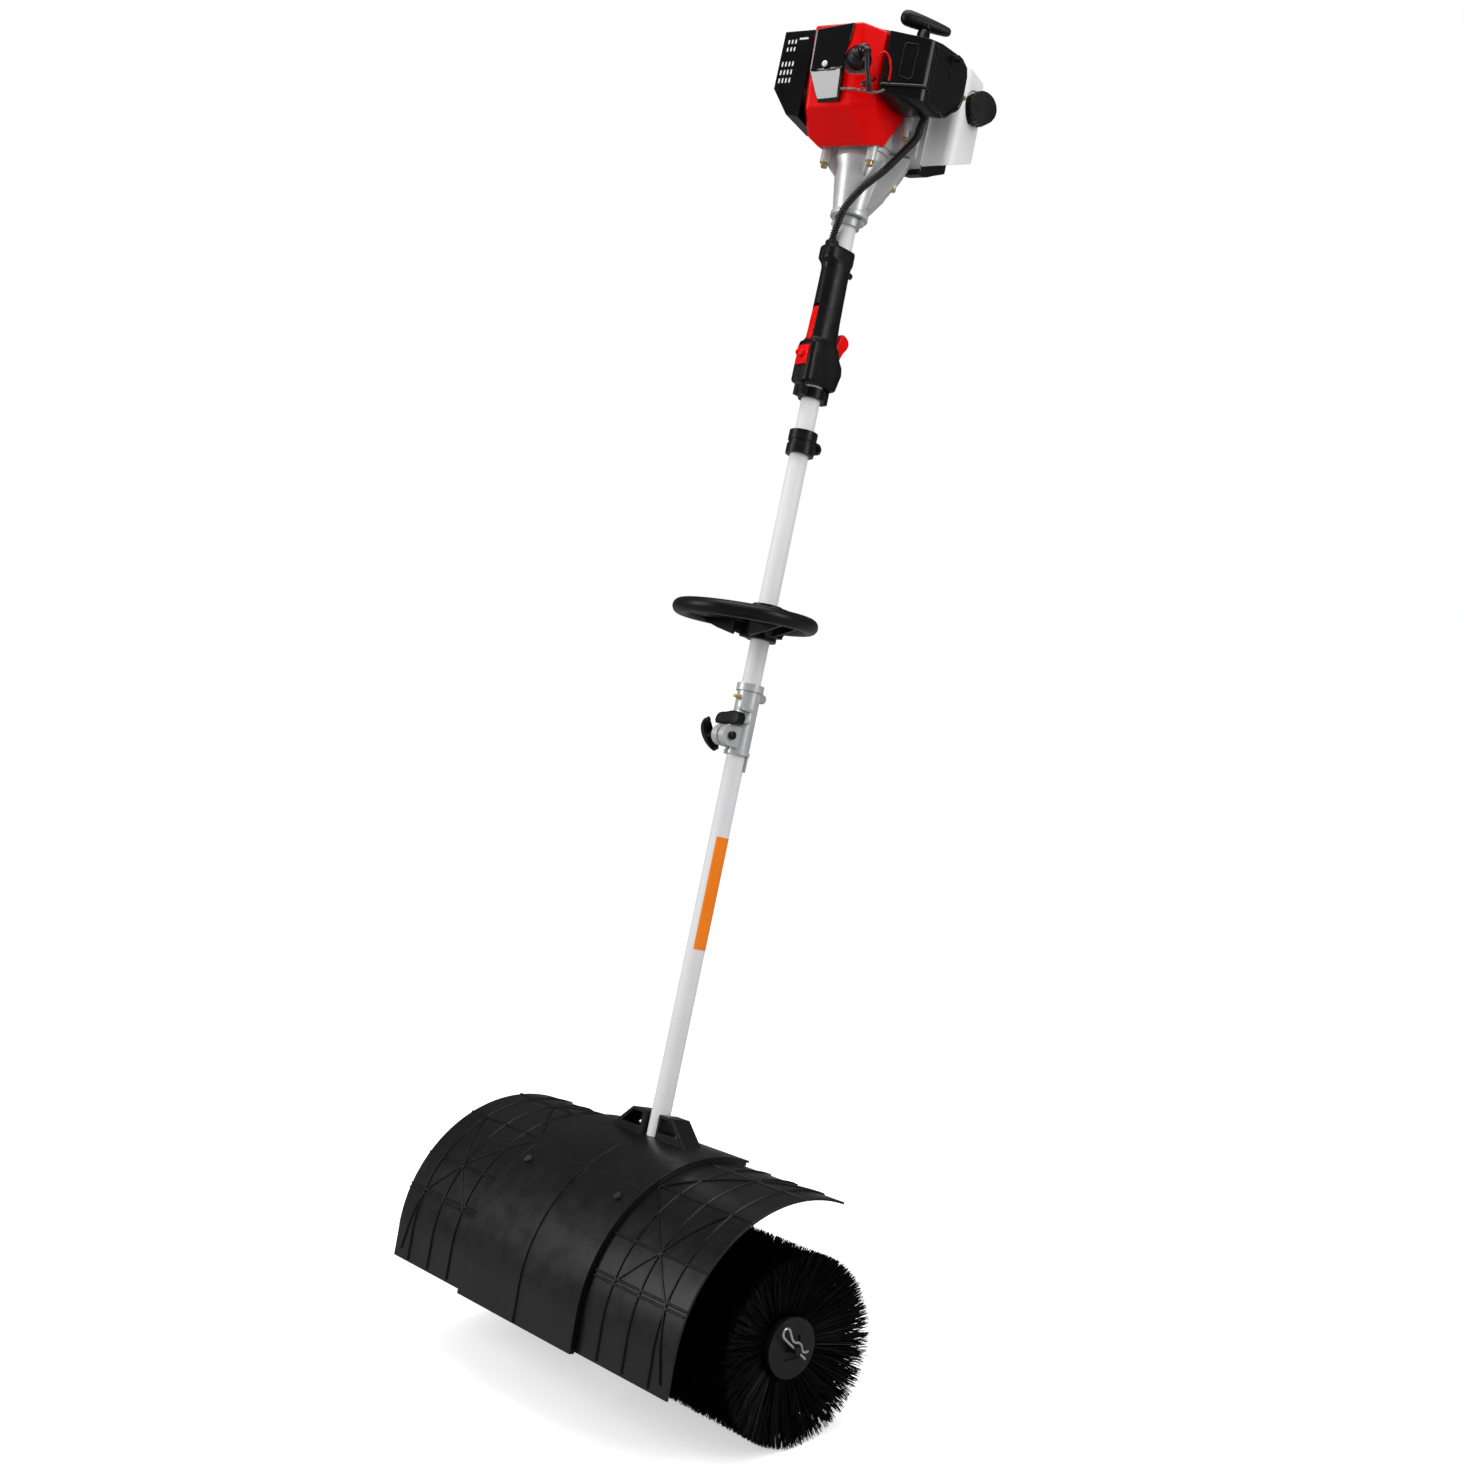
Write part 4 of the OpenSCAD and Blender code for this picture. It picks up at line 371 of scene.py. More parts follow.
# Drive head: a cast gearbox in two halves on the axle, its bearings, worm and wheel inside, dark
# bolts through it and a bracket on the tube that carries the guard.
cast = finish("cast_aluminium", (0.60, 0.605, 0.61), (0.70, 0.705, 0.71), rough=0.36, metal=0.40,
              grain=(420, 0.2), edge=0.0009, edge_wear_and_highlight=(0.74, 0.74, 0.74))
dark_steel = finish("dark_steel", (0.04, 0.04, 0.042), (0.08, 0.08, 0.08), rough=0.38, metal=0.6,
                    grain=(700, 0.05), edge=0.0004, edge_wear_and_highlight=(0.3, 0.3, 0.3))
bronze = finish("bronze", (0.42, 0.26, 0.1), (0.55, 0.36, 0.16), rough=0.32, metal=0.8,
                grain=(500, 0.06), edge=0.0003)
dress(cast, "gearbox_left", "gearbox_right")
dress(dark_steel, "head_bolts", "small_screws", "guard_bracket")
dress(bronze, "worm_wheel", "upper_bushes", "lower_bearings")
dress(bright_steel, "worm", "lower_drive_shaft", "upper_drive_shaft")

# Guard: two wings and a raised centre cover of satin black plastic, screwed to the bracket. Each
# wing has a pattern of raised ribs: along the brush, round it and slantwise. The ribs are darker
# than the wings, a painted shade along them, and their lighter edges are a painted highlight.
# Its lighter grey edges are a painted highlight.
guard_black = finish("guard_black", (0.0035, 0.0035, 0.004), (0.0065, 0.0065, 0.007), rough=0.34,
                     shine=0.42, grain=(520, 0.12), edge=0.0009, edge_wear_and_highlight=(0.045, 0.045, 0.045),
                     blotch=9)
# Darker than the guard: painted shade along the ribs. The lighter edge colour is a painted
# highlight.
rib_shade_and_highlight = finish("rib_shade_and_highlight", (0.0015, 0.0015, 0.0015), (0.003, 0.003, 0.003), rough=0.36,
                   shine=0.3, grain=(520, 0.1), edge=0.0007, edge_wear_and_highlight=(0.08, 0.08, 0.08), blotch=9)
dress(guard_black, "guard_left", "guard_right", "guard_centre")
GUARD_R = 186.0
GUARD_AT = (-9.5, 111.5)
GUARD_BEND = math.radians(77.5)
# Each rib's corners: millimetres along the brush, and degrees round from the guard's top.
GUARD_RIBS = [[(127, 21), (215, 45), (264, 61), (285, 86)], [(127, 21), (215, -5)],
              [(215, -5), (166, -25)], [(215, -5), (264, -25)], [(215, 45), (166, 61)],
              [(215, 45), (264, 20)],
              *([(x, -24), (x, 30), (x, 89)] for x in (166, 215, 264)),
              *([(126, turn), (299, turn)] for turn in (-5, 20, 45, 61.5, 59.6))]
# Across a rib: millimetres from its middle, and above the wing.
RIB = np.array([(-1.75, -0.6), (-1.5, 1.0), (-0.8, 1.85), (0, 2.0), (0.8, 1.85), (1.5, 1.0),
                (1.75, -0.6)])


def on_guard(x, run, height):
    """Millimetres along the brush, along the guard's surface from its top and above it, to metres:
    an arc about the guard's centre as far as its bend, then its straight tangent."""
    bend = GUARD_R * GUARD_BEND
    turn = np.minimum(run, bend) / GUARD_R
    past = np.maximum(run - bend, 0)
    reach = GUARD_R + height
    y = GUARD_AT[0] - reach * np.sin(turn) - past * np.cos(turn)
    z = GUARD_AT[1] + reach * np.cos(turn) - past * np.sin(turn)
    return np.stack((x + 0 * y, y, z), -1) / 1000


for side, sign in (("left", 1), ("right", -1)):
    skins = []
    for route in GUARD_RIBS:
        corners = np.array([(sign * x, GUARD_R * math.radians(turn)) for x, turn in route])
        steps = np.linspace(0, len(corners) - 1, 16 * (len(corners) - 1) + 1)
        x, run = (np.interp(steps, np.arange(len(corners)), corners[:, i]) for i in range(2))
        way = np.stack((np.gradient(x), np.gradient(run)), -1)
        way /= np.linalg.norm(way, axis=1, keepdims=True)
        across, height = RIB[None, :, 0], RIB[None, :, 1]
        skins.append(loft(on_guard(x[:, None] - way[:, 1:] * across,
                                   run[:, None] + way[:, :1] * across, height + 0 * x[:, None])))
    piece("guard_ribs_" + side, merge(skins), "attachment", rib_shade_and_highlight)

# Shaft: two satin silver tubes, the upper one with its lower end in the coupler, where the lower
# one slides in. One plain orange band wraps half of the lower tube.
satin = finish("satin_tube", (0.70, 0.70, 0.71), (0.76, 0.76, 0.77), rough=0.50, grain=(600, 0.03),
               edge=0.0005, blotch=6)
orange = finish("orange_band", (0.90, 0.20, 0.001), (0.95, 0.23, 0.003), rough=0.4, shine=0.25,
                grain=(700, 0.03), edge=0.0, blotch=10)
dress(satin, "lower_tube", "upper_tube")
SHAFT_FRONT, SHAFT_FOOT = 32, 114.5
TUBE_R = 13.0
BAND, BAND_TURN = (432, 582), (-54, 138)
BAND_OUT, BAND_IN = 0.16, 0.1


def on_shaft(points):
    """Millimetres in the shaft's frame, with Z along it from the gear and Y to the operator, to
    metres in the shared frame."""
    p = np.asarray(points, float)
    y, z = p[..., 1] - SHAFT_FRONT, p[..., 2]
    c, s = math.cos(TILT), math.sin(TILT)
    return np.stack((p[..., 0], y * c + z * s, SHAFT_FOOT - y * s + z * c), -1) / 1000


turn = np.radians(np.linspace(*BAND_TURN, 49))
turn = np.r_[turn, turn[::-1]]
r = np.repeat((TUBE_R + BAND_OUT, TUBE_R - BAND_IN), 49)
rings = np.stack([np.c_[r * np.cos(turn), r * np.sin(turn), np.full(98, z)]
                  for z in np.linspace(*BAND, 4)])
piece("orange_band", loft(on_shaft(rings)), "attachment", orange)

# Coupler: a satin aluminium sleeve with split ears, clamped round the tubes by a bolt with a black
# crescent knob, and a black catch that locks the lower tube. Its screw is brass, as are the bolts
# of the engine's castings.
satin_cast = finish("satin_cast", (0.48, 0.485, 0.49), (0.57, 0.575, 0.58), rough=0.38, metal=0.35,
                    grain=(480, 0.12), edge=0.0009, edge_wear_and_highlight=(0.72, 0.72, 0.72))
brass = finish("brass_plate", (0.50, 0.36, 0.13), (0.66, 0.50, 0.22), rough=0.3, metal=0.7,
               grain=(500, 0.06), edge=0.0005, edge_wear_and_highlight=(0.8, 0.66, 0.36))
soft_black = finish("soft_black", (0.003, 0.003, 0.0034), (0.006, 0.006, 0.0065), rough=0.36,
                    shine=0.22, grain=(560, 0.16), edge=0.0009, edge_wear_and_highlight=(0.05, 0.05, 0.05), blotch=12)
dress(satin_cast, "shaft_coupler")
dress(brass, "brass_bolts")


def slab(outline, half, soft, count=96):
    """A flat body with rounded edges: a closed smooth curve through an outline's points, stacked
    across its thickness and drawn in along its normals towards both faces. Half is half of the
    thickness, soft the edge's radius. Gives rings of (u, v, thickness)."""
    p = np.asarray(outline, float)
    flat = curve(np.vstack((p, p[:1])), count + 1)[0][:-1]
    way = np.roll(flat, -1, 0) - np.roll(flat, 1, 0)
    way /= np.linalg.norm(way, axis=1, keepdims=True)
    ahead = np.roll(flat, -1, 0)
    area = np.sum(flat[:, 0] * ahead[:, 1] - flat[:, 1] * ahead[:, 0])
    inward = np.c_[-way[:, 1], way[:, 0]] * math.copysign(1, area)
    bend = np.linspace(0, np.pi / 2, 6)
    draw = soft * (1 - np.sin(bend))
    level = half - soft * (1 - np.cos(bend))
    levels = np.r_[-level, level[::-1]]
    draws = np.r_[draw, draw[::-1]]
    return np.stack([np.c_[flat + inward * d, np.full(count, z)] for z, d in zip(levels, draws)])


def turned(profile, sides, at=(0, 0)):
    """Rings of a turned body: a profile's radius and height, taken round an upright axis."""
    r, z = np.asarray(profile, float).T[:, :, None]
    turn = np.linspace(0, 2 * np.pi, sides, endpoint=False)[None, :]
    return np.stack((at[0] + r * np.cos(turn), at[1] + r * np.sin(turn), z + 0 * turn), -1)


COUPLER_EAR = (-26.0, 715.0)
KNOB_TURN = math.radians(-36)
BOW_R, BOW_AT = 26, -18
bow = np.radians(np.linspace(-66, 66, 13))
deep = 10.5 - 5.5 * (bow / bow[-1]) ** 2
BOW = np.vstack([np.c_[BOW_AT - r * np.cos(bow), r * np.sin(bow)][::way]
                 for r, way in ((BOW_R, 1), (BOW_R - deep, -1))])
# Radius of the knob's stem and bolt, and the place along the bolt.
STEM = [(5.6, -36), (5.6, -27), (6, -22), (7, -18), (7.6, -12.6), (3, -12.4), (3, 13), (5.6, 13.1),
        (5.6, 16.6), (4.8, 17.2)]


def on_knob(along, across, up):
    """Millimetres along the clamp bolt and square to it, turned with the knob about the bolt, to
    metres."""
    c, s = math.cos(KNOB_TURN), math.sin(KNOB_TURN)
    return on_shaft(np.stack((along, COUPLER_EAR[0] + across * c + up * s,
                              COUPLER_EAR[1] - across * s + up * c), -1))


along, up, across = np.moveaxis(slab(BOW, half=5.5, soft=2.0), -1, 0)
knob = piece("knob_bow", loft(on_knob(along, across, up)), "knob", soft_black)
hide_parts("clamp_knob")
across, up, along = np.moveaxis(turned(STEM, 30), -1, 0)
piece("knob_stem", loft(on_knob(along, across, up)), "knob", soft_black)
CATCH = [(-20, 729.8), (-12, 730), (-6, 730.6), (4, 731), (10, 730.2), (19, 730.2), (24.6, 734),
         (25, 741), (21, 746.5), (10, 748), (-2, 746), (-13, 745), (-19, 742), (-22, 735)]
CATCH_Y = -24.6
x, z, y = np.moveaxis(slab(CATCH, half=6.6, soft=1.8), -1, 0)
catch = piece("catch_block", loft(on_shaft(np.stack((x, CATCH_Y - y, z), -1))), "catch",
              soft_black)
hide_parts("release_catch")

# Loop handle: a black steering ring, tilted a little, with ribbed webs to a hub in two halves that
# is screwed round the tube.
dress(soft_black, "loop_handle_cap")
LOOP = np.array((0.0, -34.0, 874.0))
LOOP_R, LOOP_BAR = 87.5, 10.5
LOOP_TILT = (math.radians(4.5), math.radians(2.0))


def on_loop(points):
    """Millimetres in the ring's own plane, turned a little about its two axes, to metres."""
    p = np.asarray(points, float)
    (a, b), (x, y, z) = LOOP_TILT, (p[..., i] for i in range(3))
    x, z = x * math.cos(b) + z * math.sin(b), z * math.cos(b) - x * math.sin(b)
    y, z = y * math.cos(a) - z * math.sin(a), y * math.sin(a) + z * math.cos(a)
    return on_shaft(np.stack((x, y, z), -1) + LOOP)


def prism(outline, axis, low, high):
    """Two rings: a flat outline, set at two levels along axis 0, 1 or 2."""
    flat = np.asarray(outline, float)
    return np.stack([np.insert(flat, axis, level, axis=1) for level in (low, high)])


ROUND, BAR_SIDES = 96, 36
way = np.linspace(0, 2 * np.pi, ROUND, endpoint=False)[:, None]
turn = np.linspace(0, 2 * np.pi, BAR_SIDES, endpoint=False)[None, :]
r = LOOP_R + LOOP_BAR * np.cos(turn)
rings = on_loop(np.stack((r * np.cos(way), r * np.sin(way), LOOP_BAR * np.sin(turn) + 0 * way), -1))
faces = grid_faces(ROUND + 1, BAR_SIDES) % (ROUND * BAR_SIDES)
ring = piece("loop_ring", (rings.reshape(-1, 3), faces, ()), "power_unit",
             soft_black)
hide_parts("loop_handle")
WEB = [(14, -4), (66, -48), (80, -20), (84, 26), (80, 33), (17, 33)]
WEB_RIB = [(17, 0), (17, -24), (50, -17), (78, -9), (80, 0)]
WEB_HALF, RIB_HALF = 4, 2
for side, sign in (("left", 1), ("right", -1)):
    web = prism(np.multiply(WEB, (sign, 1)), 2, -WEB_HALF, WEB_HALF)
    piece("loop_web_" + side, loft(on_loop(web)), "power_unit", soft_black)
    for name, y in (("front", -2), ("back", 26)):
        rib = prism(np.multiply(WEB_RIB, (sign, 1)), 1, y - RIB_HALF, y + RIB_HALF)
        piece(f"loop_rib_{name}_{side}", loft(on_loop(rib)), "power_unit",
              soft_black)
HUB = np.array([(13.1, -24), (19.6, -24), (20.8, -23), (20.8, 23), (19.6, 24), (13.1, 24)])
WING = [(-34, -10), (34, -10), (34, -0.4), (-34, -0.4)]
WING_HALF = 20
piece("loop_hub", loft(on_shaft(turned(HUB + (0, LOOP[2]), 36))), "power_unit",
      soft_black)
wings = prism(WING, 2, LOOP[2] - WING_HALF, LOOP[2] + WING_HALF)
piece("loop_wings", loft(on_shaft(wings)), "power_unit", soft_black)

# Throttle grip: two black shells screwed round the tube, square at the stop switch and the trigger
# and round above, with a head that takes the conduit. The red trigger, lock-out lever and stop
# switch sit in slots of the shells. A clamp ring closes its foot, above the harness collar.
# The pale pink at its edges and creases is a painted highlight.
red = finish("red_plastic", (0.74, 0.0005, 0.0005), (0.82, 0.001, 0.001), rough=0.20, shine=0.16,
             grain=(620, 0.04), edge=0.0012, edge_wear_and_highlight=(0.90, 0.35, 0.33), blotch=8)
dress(red, "throttle_lock_button")
dress(soft_black, "harness_collar", "grip_clamp")
GRIP_AT, GRIP_LENGTH = 1205.0, 194
GRIP_BORE, GRIP_RIM = 13.1, 0.12
# Height, half width, depth in front and behind, and squareness.
GRIP = np.array([
    (0, 17.0, 28.5, 25, 6), (1, 17.8, 29.5, 26.5, 6), (3, 18.4, 30, 27.5, 7), (26, 18.4, 30, 33, 7),
    (36, 18.2, 30, 31, 7), (44, 18, 30, 25, 6), (54, 17.8, 30, 21, 6), (57, 17.6, 29.6, 20, 5),
    (60, 17.2, 27, 19, 3.4), (64, 17, 25.8, 18.4, 2.6), (96, 16.8, 25.5, 17, 2.3),
    (150, 16.6, 25.5, 15.8, 2.2), (164, 16.6, 25.6, 15.5, 2.2), (170, 16.6, 26.6, 15.4, 2.5),
    (173, 16.6, 28.6, 15.4, 3), (175, 16.6, 30.6, 15.4, 3.6), (177, 16.6, 31, 15.4, 4),
    (190, 16.6, 31, 15.4, 4), (192.6, 16.2, 30.4, 15.2, 4), (194, 15.4, 29.2, 14.8, 4)])
# Each slot: its half width, its lower and upper end, and how far out its floor lies.
LEVER_SLOT = (5.6, 57.5, 111.5, 15.6)
TRIGGER_SLOT = (6.2, 33.5, 96.5, 15.2)
SWITCH_SLOT = (11.2, 21.4, 55.4, 27.6)
SCREW_AT, SCREW_R, SCREW_OUT = 168, 5.2, 21.8


def grip_skin(sign):
    """Rings of one shell. Each ring is half of a superellipse, |x/w|^n + |y/d|^n = 1, with its own
    depth in front and behind, then the bore back to the start. Slots for the lever, the trigger and
    the switch and the screw's boss move the skin in or out along Y, and the rim at the seam is
    drawn in. Two rings stand close together at each end of a slot."""
    slots = ((-1, LEVER_SLOT), (1, TRIGGER_SLOT), (-1, SWITCH_SLOT))
    ends = [end + gap for _, slot in slots for end in slot[1:3] for gap in (-0.1, 0.1)]
    z = np.unique(np.r_[np.linspace(0, GRIP_LENGTH, 150), GRIP[:, 0], ends])
    w, front, back, n = (np.interp(z, GRIP[:, 0], GRIP[:, i])[:, None] for i in range(1, 5))
    turn = np.linspace(-np.pi / 2, np.pi / 2, 141)[None, :]
    c, s = np.abs(np.cos(turn)) + 1e-9, np.abs(np.sin(turn)) + 1e-9
    deep = np.where(turn < 0, front, back)
    r = ((c / w) ** n + (s / deep) ** n) ** (-1 / n)
    x = np.maximum(r * np.cos(turn), GRIP_RIM)
    y = r * np.sin(turn)
    seam = 0.5 * np.clip(1 - x / 0.7, 0, 1)
    y = y - np.sign(y) * seam
    h = z[:, None] + 0 * x
    y = np.where((y > 0) & (np.hypot(x, h - SCREW_AT) < SCREW_R), SCREW_OUT, y)
    for face, (half, low, high, bottom) in slots:
        inside = (face * y > 0) & (x < half) & (h > low) & (h < high)
        y = np.where(inside, face * np.minimum(face * y, bottom), y)
    bore = np.linspace(np.pi / 2, -np.pi / 2, 25)[None, :] + 0 * z[:, None]
    bx, by = np.maximum(GRIP_BORE * np.cos(bore), GRIP_RIM), GRIP_BORE * np.sin(bore)
    px, py = np.hstack((x, bx)) * sign, np.hstack((y, by))
    return np.stack((px, py, GRIP_AT + z[:, None] + 0 * px), -1)


for side, sign in (("left", 1), ("right", -1)):
    shell = piece("grip_shell_" + side, loft(on_shaft(grip_skin(sign))), "power_unit",
                  soft_black, crease=32)
    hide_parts("grip_" + side)
BOSS = np.array([(9.4, 187), (9.4, 199.5), (8.8, 201.2), (7.4, 202), (6.2, 202)])
piece("conduit_boss", loft(on_shaft(turned(BOSS + (0, GRIP_AT), 40, at=(0, -20)))), "power_unit",
      soft_black)
TRIGGER = [(27, 85), (30, 86), (35, 85), (40.5, 81.5), (43.2, 76), (41.5, 69), (37, 62), (33.5, 54),
           (31, 46), (28, 40.5), (22, 38), (18, 40), (18.4, 50), (22.8, 70), (25.4, 81)]
LEVER = [(-19.4, 108.4), (-23.5, 108), (-26, 104), (-27, 94), (-27.6, 76), (-27.2, 66),
         (-25.8, 60.6), (-23, 59.8), (-21.2, 64), (-19.4, 80), (-17.4, 98), (-17.2, 105)]
for name, node, outline, half, soft, body in (
        ("trigger_blade", "throttle_trigger", TRIGGER, 5.2, 2.0, "trigger"),
        ("lever_bar", "lockout_lever", LEVER, 4.9, 1.6, "lockout")):
    y, z, x = np.moveaxis(slab(outline, half, soft), -1, 0)
    control = piece(name, loft(on_shaft(np.stack((x, y, z + GRIP_AT), -1))), body,
                    red)
    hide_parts(node)
SWITCH = [(-10.2, 23), (-10.2, 36), (-10.2, 49), (-9.6, 49.6), (0, 49.6), (9.6, 49.6), (10.2, 49),
          (10.2, 36), (10.2, 23), (9.6, 22.4), (0, 22.4), (-9.6, 22.4)]
SWITCH_Y, SWITCH_KNOB_AT = -29.9, 37
# Radius of the switch's knob, and the distance in front of the tube's axis.
SWITCH_KNOB = [(5.4, 31), (5.4, 35.4), (5.1, 36.3), (4.2, 36.9), (3, 37.1)]
x, z, y = np.moveaxis(slab(SWITCH, half=2.9, soft=1.0), -1, 0)
switch = piece("switch_slider", loft(on_shaft(np.stack((x, SWITCH_Y - y, z + GRIP_AT), -1))),
               "stop", red)
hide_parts("stop_switch")
x, z, y = np.moveaxis(turned(SWITCH_KNOB, 36), -1, 0)
piece("switch_knob", loft(on_shaft(np.stack((x, -y, GRIP_AT + SWITCH_KNOB_AT + z), -1))), "stop",
      red)

# Engine: clutch housing, fan case and finned cylinder of cast aluminium, bolted together under a
# red cover and clamped to the upper tube. A bent gloss black panel is screwed to the cover's
# sloping front.
# Both gloss blacks have lighter grey edges: a painted highlight.
gloss_black = finish("gloss_black", (0.0022, 0.0022, 0.0026), (0.0045, 0.0045, 0.005), rough=0.20,
                     shine=0.28, grain=(300, 0.02), edge=0.0014, edge_wear_and_highlight=(0.03, 0.03, 0.03), blotch=8)
mirror_black = finish("mirror_black", (0.002, 0.002, 0.0024), (0.004, 0.004, 0.0044), rough=0.07,
                      shine=0.8, grain=(250, 0.004), edge=0.0012, edge_wear_and_highlight=(0.03, 0.03, 0.03), blotch=6)
dress(red, "cylinder_cover")
dress(cast, "clutch_housing", "fan_case", "engine_cylinder", "carburetor")
dress(satin_cast, "tube_clamp")
dress(bright_steel, "clutch_drum", "fan_flywheel", "spark_plug")
dress(soft_black, "choke_lever")
ENGINE_AT, SPIN = 1549, math.radians(19)
COVER_AT, COVER_TILT = (-94.9, 16.2), math.atan(20 / 102)


def on_engine(points):
    """Millimetres in the engine's frame, with Z along the shaft from the fan case's face, to metres
    in the shared frame."""
    p = np.asarray(points, float)
    c, s = math.cos(SPIN), math.sin(SPIN)
    return on_shaft(np.stack((p[..., 0] * c - p[..., 1] * s, p[..., 0] * s + p[..., 1] * c,
                              p[..., 2] + ENGINE_AT), -1))


def on_cover(x, z, rise):
    """Millimetres across the cover's sloping front, up it and out from it, to metres."""
    c, s = math.cos(COVER_TILT), math.sin(COVER_TILT)
    return on_engine(np.stack((x, COVER_AT[0] - rise * c - z * s,
                               COVER_AT[1] - rise * s + z * c), -1))


# The panel's two edges, up the cover and across it.
PANEL_LEFT = np.array([(4, -27), (47, -44), (101, -40)])
PANEL_RIGHT = np.array([(4, 6), (40, 9), (52, 7), (68, 7), (84, 13), (106, 17)])
# Across the panel, as a share of its width, and how far its rolled edges sink there.
PANEL_ACROSS = np.array([0, 0, 0.004, 0.012, 0.03, *np.linspace(0.08, 0.92, 9), 0.97, 0.988, 0.996,
                         1, 1])
PANEL_SINK = np.array([9, 0.9, 0.45, 0.15, 0.02, *np.zeros(9), 0.02, 0.15, 0.45, 0.9, 9])
PANEL_THICK, PANEL_LEAST, PANEL_SLOPE = 3, 0.3, 0.12
left_z, right_z = (np.linspace(edge[0, 0], edge[-1, 0], 60) for edge in (PANEL_LEFT, PANEL_RIGHT))
left_x, right_x = np.interp(left_z, *PANEL_LEFT.T), np.interp(right_z, *PANEL_RIGHT.T)
x, z = (left[:, None] * (1 - PANEL_ACROSS) + right[:, None] * PANEL_ACROSS
        for left, right in ((left_x, right_x), (left_z, right_z)))
# Below its bend the panel slopes out to one side, and it rolls in at its foot.
slope = PANEL_SLOPE * (x - left_x[:, None]) * np.interp(z, (46, 48.5), (1, 0))
foot = np.interp(z, (4, 8, 14, 20), (3.2, 1.9, 0.6, 0))
rise = np.maximum(PANEL_THICK + slope - foot - PANEL_SINK, PANEL_LEAST)
panel = piece("bent_panel", loft(on_cover(x, z, rise)), "power_unit", mirror_black,
              crease=50)
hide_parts("cover_panel")
# Radius of the screw's head, and its height above the cover.
DOME = [(4.3, 2.6), (4.3, 5.4), (3.9, 6.2), (2.9, 6.7), (1.4, 6.9)]
DOME_AT = (-20, 54)
x, z, rise = np.moveaxis(turned(DOME, 28, at=DOME_AT), -1, 0)
piece("panel_screw", loft(on_cover(x, z, rise)), "power_unit", satin)

# Muffler: a steel box on the cylinder's side under a gloss black guard. Light grey inserts fill
# the guard's slots, in its front and in its sloping side: painted glints where light shows through.
muffler_steel = finish("muffler_steel", (0.22, 0.2, 0.18), (0.36, 0.33, 0.3), rough=0.45, metal=0.8,
                       grain=(500, 0.12))
dress(muffler_steel, "muffler")
dress(gloss_black, "muffler_guard")
SHIELD = [(-102, 48), (-102, 128), (-58, 128), (-58, 10), (-75, 11)]
SHIELD_Y = (-33, -31)
piece("muffler_shield", loft(on_engine(prism(SHIELD, 1, *SHIELD_Y))), "power_unit",
      gloss_black)
# Slots in the front: their corner, width and height.
SLOT_STEP, SLOT_Y = 5.4, (-91.7, -90.0)
SLOTS = [(-100 + SLOT_STEP * k, e, 2.6, 7) for k in range(4) for e in (55, 67, 79)]
SLOTS += [(-97 + SLOT_STEP * k, e, 2.6, 6) for k in range(3) for e in (101, 112)]
SLOTS += [(-80, 117, 14, 3)]
# Louvres in the sloping side: their place down the slope and back from the front.
LOUVRE, LOUVRE_STEP, LOUVRE_LONG = np.array([(4.9, 0.4), (8.1, 0.4), (8.1, 2), (4.9, 2)]), 6.6, 4
LOUVRE_FROM, LOUVRE_SLOPE = (-104, -92, 47), math.atan2(39, 28)
c, s = math.cos(LOUVRE_SLOPE), math.sin(LOUVRE_SLOPE)
skins = []
for x, e, w, h in SLOTS:
    box = [(x, e), (x + w, e), (x + w, e + h), (x, e + h)]
    skins.append(loft(on_engine(prism(box, 1, *SLOT_Y))))
for k in range(6):
    for back in (7, 18, 34, 45):
        u, v = (LOUVRE + (LOUVRE_STEP * k, 0)).T
        box = np.c_[LOUVRE_FROM[0] + u * c + v * s, LOUVRE_FROM[2] - u * s + v * c]
        y = LOUVRE_FROM[1] + back
        skins.append(loft(on_engine(prism(box, 1, y, y + LOUVRE_LONG))))
# Light grey inserts in the slots: painted glints.
piece("slot_glints", merge(skins), "power_unit", satin)

# Tank: white plastic, between a cast plate on the fan case and two black struts below it, with a
# black cap and a brass nipple. Two cast posts with brass bolts stand beside it on the castings.
white_tank = finish("tank_plastic", (0.76, 0.765, 0.76), (0.81, 0.815, 0.81), rough=0.34, shine=0.4,
                    grain=(500, 0.05), edge=0.0012, blotch=6)
dress(white_tank, "fuel_tank")
dress(gloss_black, "fuel_cap")
STAND_FROM, STAND_TO, STAND_HALF = 58.3, 63.7, 60
PLATE = [(-STAND_HALF, STAND_FROM), (STAND_HALF, STAND_FROM), (STAND_HALF, STAND_TO),
         (-STAND_HALF, STAND_TO)]
PLATE_Z = (-2.3, 107.7)
STRUT = [(STAND_FROM, -11), (STAND_FROM, 3.7), (STAND_TO, 3.7), (126, 35.2), (134, 44), (134, 26),
         (122, 19), (104, 9), (84, -3), (64, -10)]
STRUT_FROM = 34
plate = piece("stand_plate", loft(on_engine(prism(PLATE, 2, *PLATE_Z))), "power_unit",
              cast)
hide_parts("tank_stand")
for side, sign in (("left", 1), ("right", -1)):
    strut = prism(STRUT, 0, sign * STRUT_FROM, sign * STAND_HALF)
    piece("stand_strut_" + side, loft(on_engine(strut)), "power_unit", soft_black)
